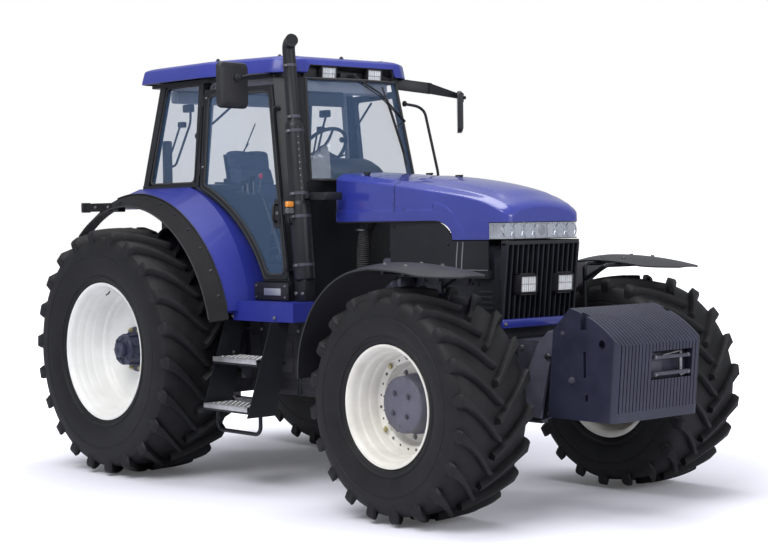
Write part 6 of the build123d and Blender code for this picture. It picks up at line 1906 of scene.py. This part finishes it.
def make_step_dress():
    """Bright treads with rows of raised holes, a strip along each edge, and the hangers' bolts."""
    b = Build()
    for sg in (1, -1):
        for y, z in ((1.035, 0.565), (0.950, 0.886)):
            x0, x1 = -0.500, -0.024
            y0, y1 = sg * y - 0.112, sg * y + 0.112
            b.box((x0, y0, z + 0.0285), (x1, y1, z + 0.0335), "tread", 0.001)
            for i in range(9):
                for j in range(4):
                    x = x0 + 0.04 + i * 0.0495
                    yy = y0 + 0.035 + j * 0.0515
                    b.lathe([(0.012, 0.0), (0.010, 0.004), (0.0075, 0.004), (0.0070, 0.0005)],
                            (x, yy, z + 0.033), UP, "tread", 12)
            rim = sg * (y + 0.1265)
            b.slab(x0 - 0.014, x1 + 0.014, rim, 0.003, z + 0.001, z + 0.034, "tread", 0.001)
        for x in (-0.50, -0.02):
            for z in (0.62, 0.94, 1.20):
                b.bolt((x, sg * 0.905, z), (0, sg, 0), 0.010, "steel")
    b.piece("step_dress", "chassis", "frame_metal")


def make_tank_dress():
    """Straps and ribs of the tanks, filler cap, battery box face and filters."""
    b = Build()
    for sg in (1, -1):
        for x in (-0.40, 0.02, 0.32):
            b.slab(x - 0.02, x + 0.02, sg * 0.722, 0.0035, 0.652, 1.158, "frame", 0.002)
            b.bolt((x, sg * 0.726, 1.10), (0, sg, 0), 0.010, "steel")
        for z in (0.74, 0.90, 1.06):
            b.slab(-0.53, 0.41, sg * 0.7215, 0.0025, z - 0.012, z + 0.012, "plastic", 0.002)
    at = Vector((0.30, 0.60, 1.165))
    b.lathe([(0.045, 0.0), (0.045, 0.02), (0.060, 0.024), (0.062, 0.050), (0.055, 0.056), (0.0001, 0.058)],
            at, UP, "frame", 32)
    for k in range(6):
        a = 2 * pi * k / 6
        c = at + Vector((0.058 * cos(a), 0.058 * sin(a), 0.026))
        b.slab(c.x - 0.006, c.x + 0.006, c.y, 0.006, c.z, c.z + 0.022, "frame", 0.003)
    # Battery box face and filters under the right side
    b.box((-0.30, -0.7245, 0.80), (-0.05, -0.7195, 1.02), "plastic", 0.004)
    for k in range(2):
        b.lathe([(0.03, 0), (0.045, 0.004), (0.047, 0.02), (0.047, 0.14), (0.040, 0.16), (0.0001, 0.165)],
                (0.52, -0.40 + 0.11 * k, 0.98), DOWN, "white" if k else "frame", 32)
    b.piece("tank_dress", "chassis", "dark_plastic")


def make_transmission_dress():
    """Ribs, cover plates, bolts and pipes on the castings, as they show from below and behind."""
    b = Build()
    for sg in (1, -1):
        for x in (-1.18, -0.98, -0.78, -0.58):
            b.slab(x - 0.012, x + 0.012, sg * 0.232, 0.014, 0.79, 1.13, "cast", 0.005)
        for x in (-1.08, -0.88, -0.68):
            for z in (0.80, 1.11):
                b.bolt((x, sg * 0.2255, z), (0, sg, 0), 0.013, "cast")
        # Flange and bolts of the axle trumpets
        b.lathe([(0.150, 0.0), (0.205, 0.004), (0.21, 0.030), (0.165, 0.045)], (REAR_X, sg * 0.292, REAR_Z),
                (0, sg, 0), "cast", 48)
        for at in circle(10, 0.185, REAR_X, sg * 0.322, REAR_Z, 0.5):
            b.bolt(at, (0, sg, 0), 0.014, "cast")
        b.lathe([(0.150, 0.0), (0.163, 0.004), (0.163, 0.020), (0.150, 0.026)], (REAR_X, sg * 0.60, REAR_Z),
                (0, sg, 0), "cast", 40)
        b.tube(rounded([(-1.20, sg * 0.25, 1.05), (-1.0, sg * 0.262, 1.06), (-0.50, sg * 0.262, 1.02),
                        (0.20, sg * 0.262, 1.0)], 0.04), 0.010, "steel", 8)
    for x in (-1.78, -1.60, -1.42):
        b.box((x - 0.012, -0.24, 0.652), (x + 0.012, 0.24, 0.664), "cast", 0.004)
    for x in (-1.05, -0.60, -0.15):
        b.box((x - 0.15, -0.16, 0.752), (x + 0.15, 0.16, 0.762), "cast", 0.004)
        for sx in (-0.13, 0.13):
            for sy in (-0.14, 0.14):
                b.bolt((x + sx, sy, 0.752), DOWN, 0.012, "steel")
    # Splined output shaft, its master guard and couplers at the back
    b.lathe([(0.060, 0.0), (0.068, 0.006), (0.068, 0.03), (0.035, 0.034)], (-1.862, 0, 0.78), BACK, "cast",
            40)
    for k in range(6):
        a = 2 * pi * k / 6
        c = Vector((-1.94, 0.0225 * cos(a), 0.78 + 0.0225 * sin(a)))
        b.slab(c.x - 0.04, c.x + 0.04, c.y, 0.0035, c.z - 0.0035, c.z + 0.0035, "steel", 0.001)
    b.plate([(-1.865, -0.15, 0.885), (-1.865, 0.15, 0.885), (-2.02, 0.13, 0.895), (-2.02, -0.13, 0.895)],
            (0, 0, 0.006), "frame")
    for sg in (1, -1):
        b.plate([(-1.865, sg * 0.146, 0.70), (-1.865, sg * 0.146, 0.885), (-2.02, sg * 0.128, 0.895),
                 (-1.97, sg * 0.13, 0.80)], (0, sg * 0.006, 0), "frame")
    for i in range(4):
        for j in range(2):
            c = Vector((-1.868, 0.20 + 0.055 * j, 0.98 + 0.055 * i))
            b.lathe([(0.013, 0), (0.019, 0.004), (0.019, 0.04), (0.012, 0.044), (0.0001, 0.045)], c, BACK,
                    "steel", 20)
            b.lathe([(0.012, 0), (0.0135, 0.002), (0.0135, 0.012), (0.0001, 0.014)],
                    c + Vector((-0.044, 0, 0)), BACK, ("red", "frame", "brass", "navy")[i], 20)
    b.piece("transmission_dress", "chassis", "axle_paint")


def make_linkage_dress():
    """Ball ends of the lower links and the heads of the lift arms' pins."""
    b = Build()
    for sg in (1, -1):
        b.lathe([(0.018, -0.034), (0.030, -0.030), (0.030, 0.030), (0.018, 0.034)],
                (-1.70, sg * 0.25, 0.56), (0, 1, 0), "steel", 28)
        b.lathe([(0.019, -0.026), (0.033, -0.018), (0.036, 0.0), (0.033, 0.018), (0.019, 0.026)],
                (-2.605, sg * 0.48, 0.61), (0, 1, 0), "steel", 32, closed=True)
    b.piece("lower_link_dress", "lower_links", "link_steel")
    b = Build()
    for sg in (1, -1):
        b.lathe([(0.0001, 0.0), (0.022, 0.002), (0.026, 0.008), (0.026, 0.02), (0.0001, 0.022)],
                (-1.79, sg * 0.43, 1.15), (0, sg, 0), "steel", 28)
    b.piece("lift_arm_dress", "lift_arms", "frame_metal")


def make_drawbar_dress():
    """Eye and side plates of the drawbar."""
    b = Build()
    b.lathe([(0.020, 0.0), (0.032, 0.002), (0.032, 0.012), (0.020, 0.014)], (-2.33, 0, 0.472), UP, "steel",
            28, closed=True)
    for sg in (1, -1):
        b.slab(-1.83, -1.79, sg * 0.07, 0.01, 0.43, 0.64, "cast", 0.004)
        b.bolt((-1.81, sg * 0.081, 0.46), (0, sg, 0), 0.012, "steel")
    b.piece("drawbar_dress", "chassis", "link_steel")


def make_rear_wall():
    """Rear window's wiper and handle, and a pair of work lamps under the roof."""
    b = Build()
    b.tube([(-1.790, 0.0, 2.20), (-1.742, 0.20, 2.50)], 0.006, "frame", 8)
    b.tube([(-1.765, 0.12, 2.34), (-1.725, 0.26, 2.66)], 0.005, "mat", 8)
    b.disc((-1.775, 0, 2.20), BACK, 0.018, 0.022, "frame", 20)
    b.tube(rounded([(-1.768, -0.10, 2.18), (-1.800, -0.10, 2.18), (-1.800, 0.10, 2.18),
                    (-1.768, 0.10, 2.18)], 0.02), 0.008, "frame", 10)
    for sg in (1, -1):
        square_lamp(b, (-1.755, sg * 0.46, 2.895), 0.045, (-1, 0, -0.15), 0.045)
        b.slab(-1.72, -1.69, sg * 0.46, 0.02, 2.89, 2.93, "frame", 0.003)
    b.piece("rear_window_dress", "chassis", "dark_plastic")


def make_rear():
    make_fender_trim()
    make_step_dress()
    make_tank_dress()
    make_transmission_dress()
    make_linkage_dress()
    make_drawbar_dress()
    make_rear_wall()


bpy.context.scene.view_settings.view_transform = "Standard"
make_camera()
make_stage()
make_lights()
dress_nodes()
make_wheels()
make_front()
make_cab()
make_rear()
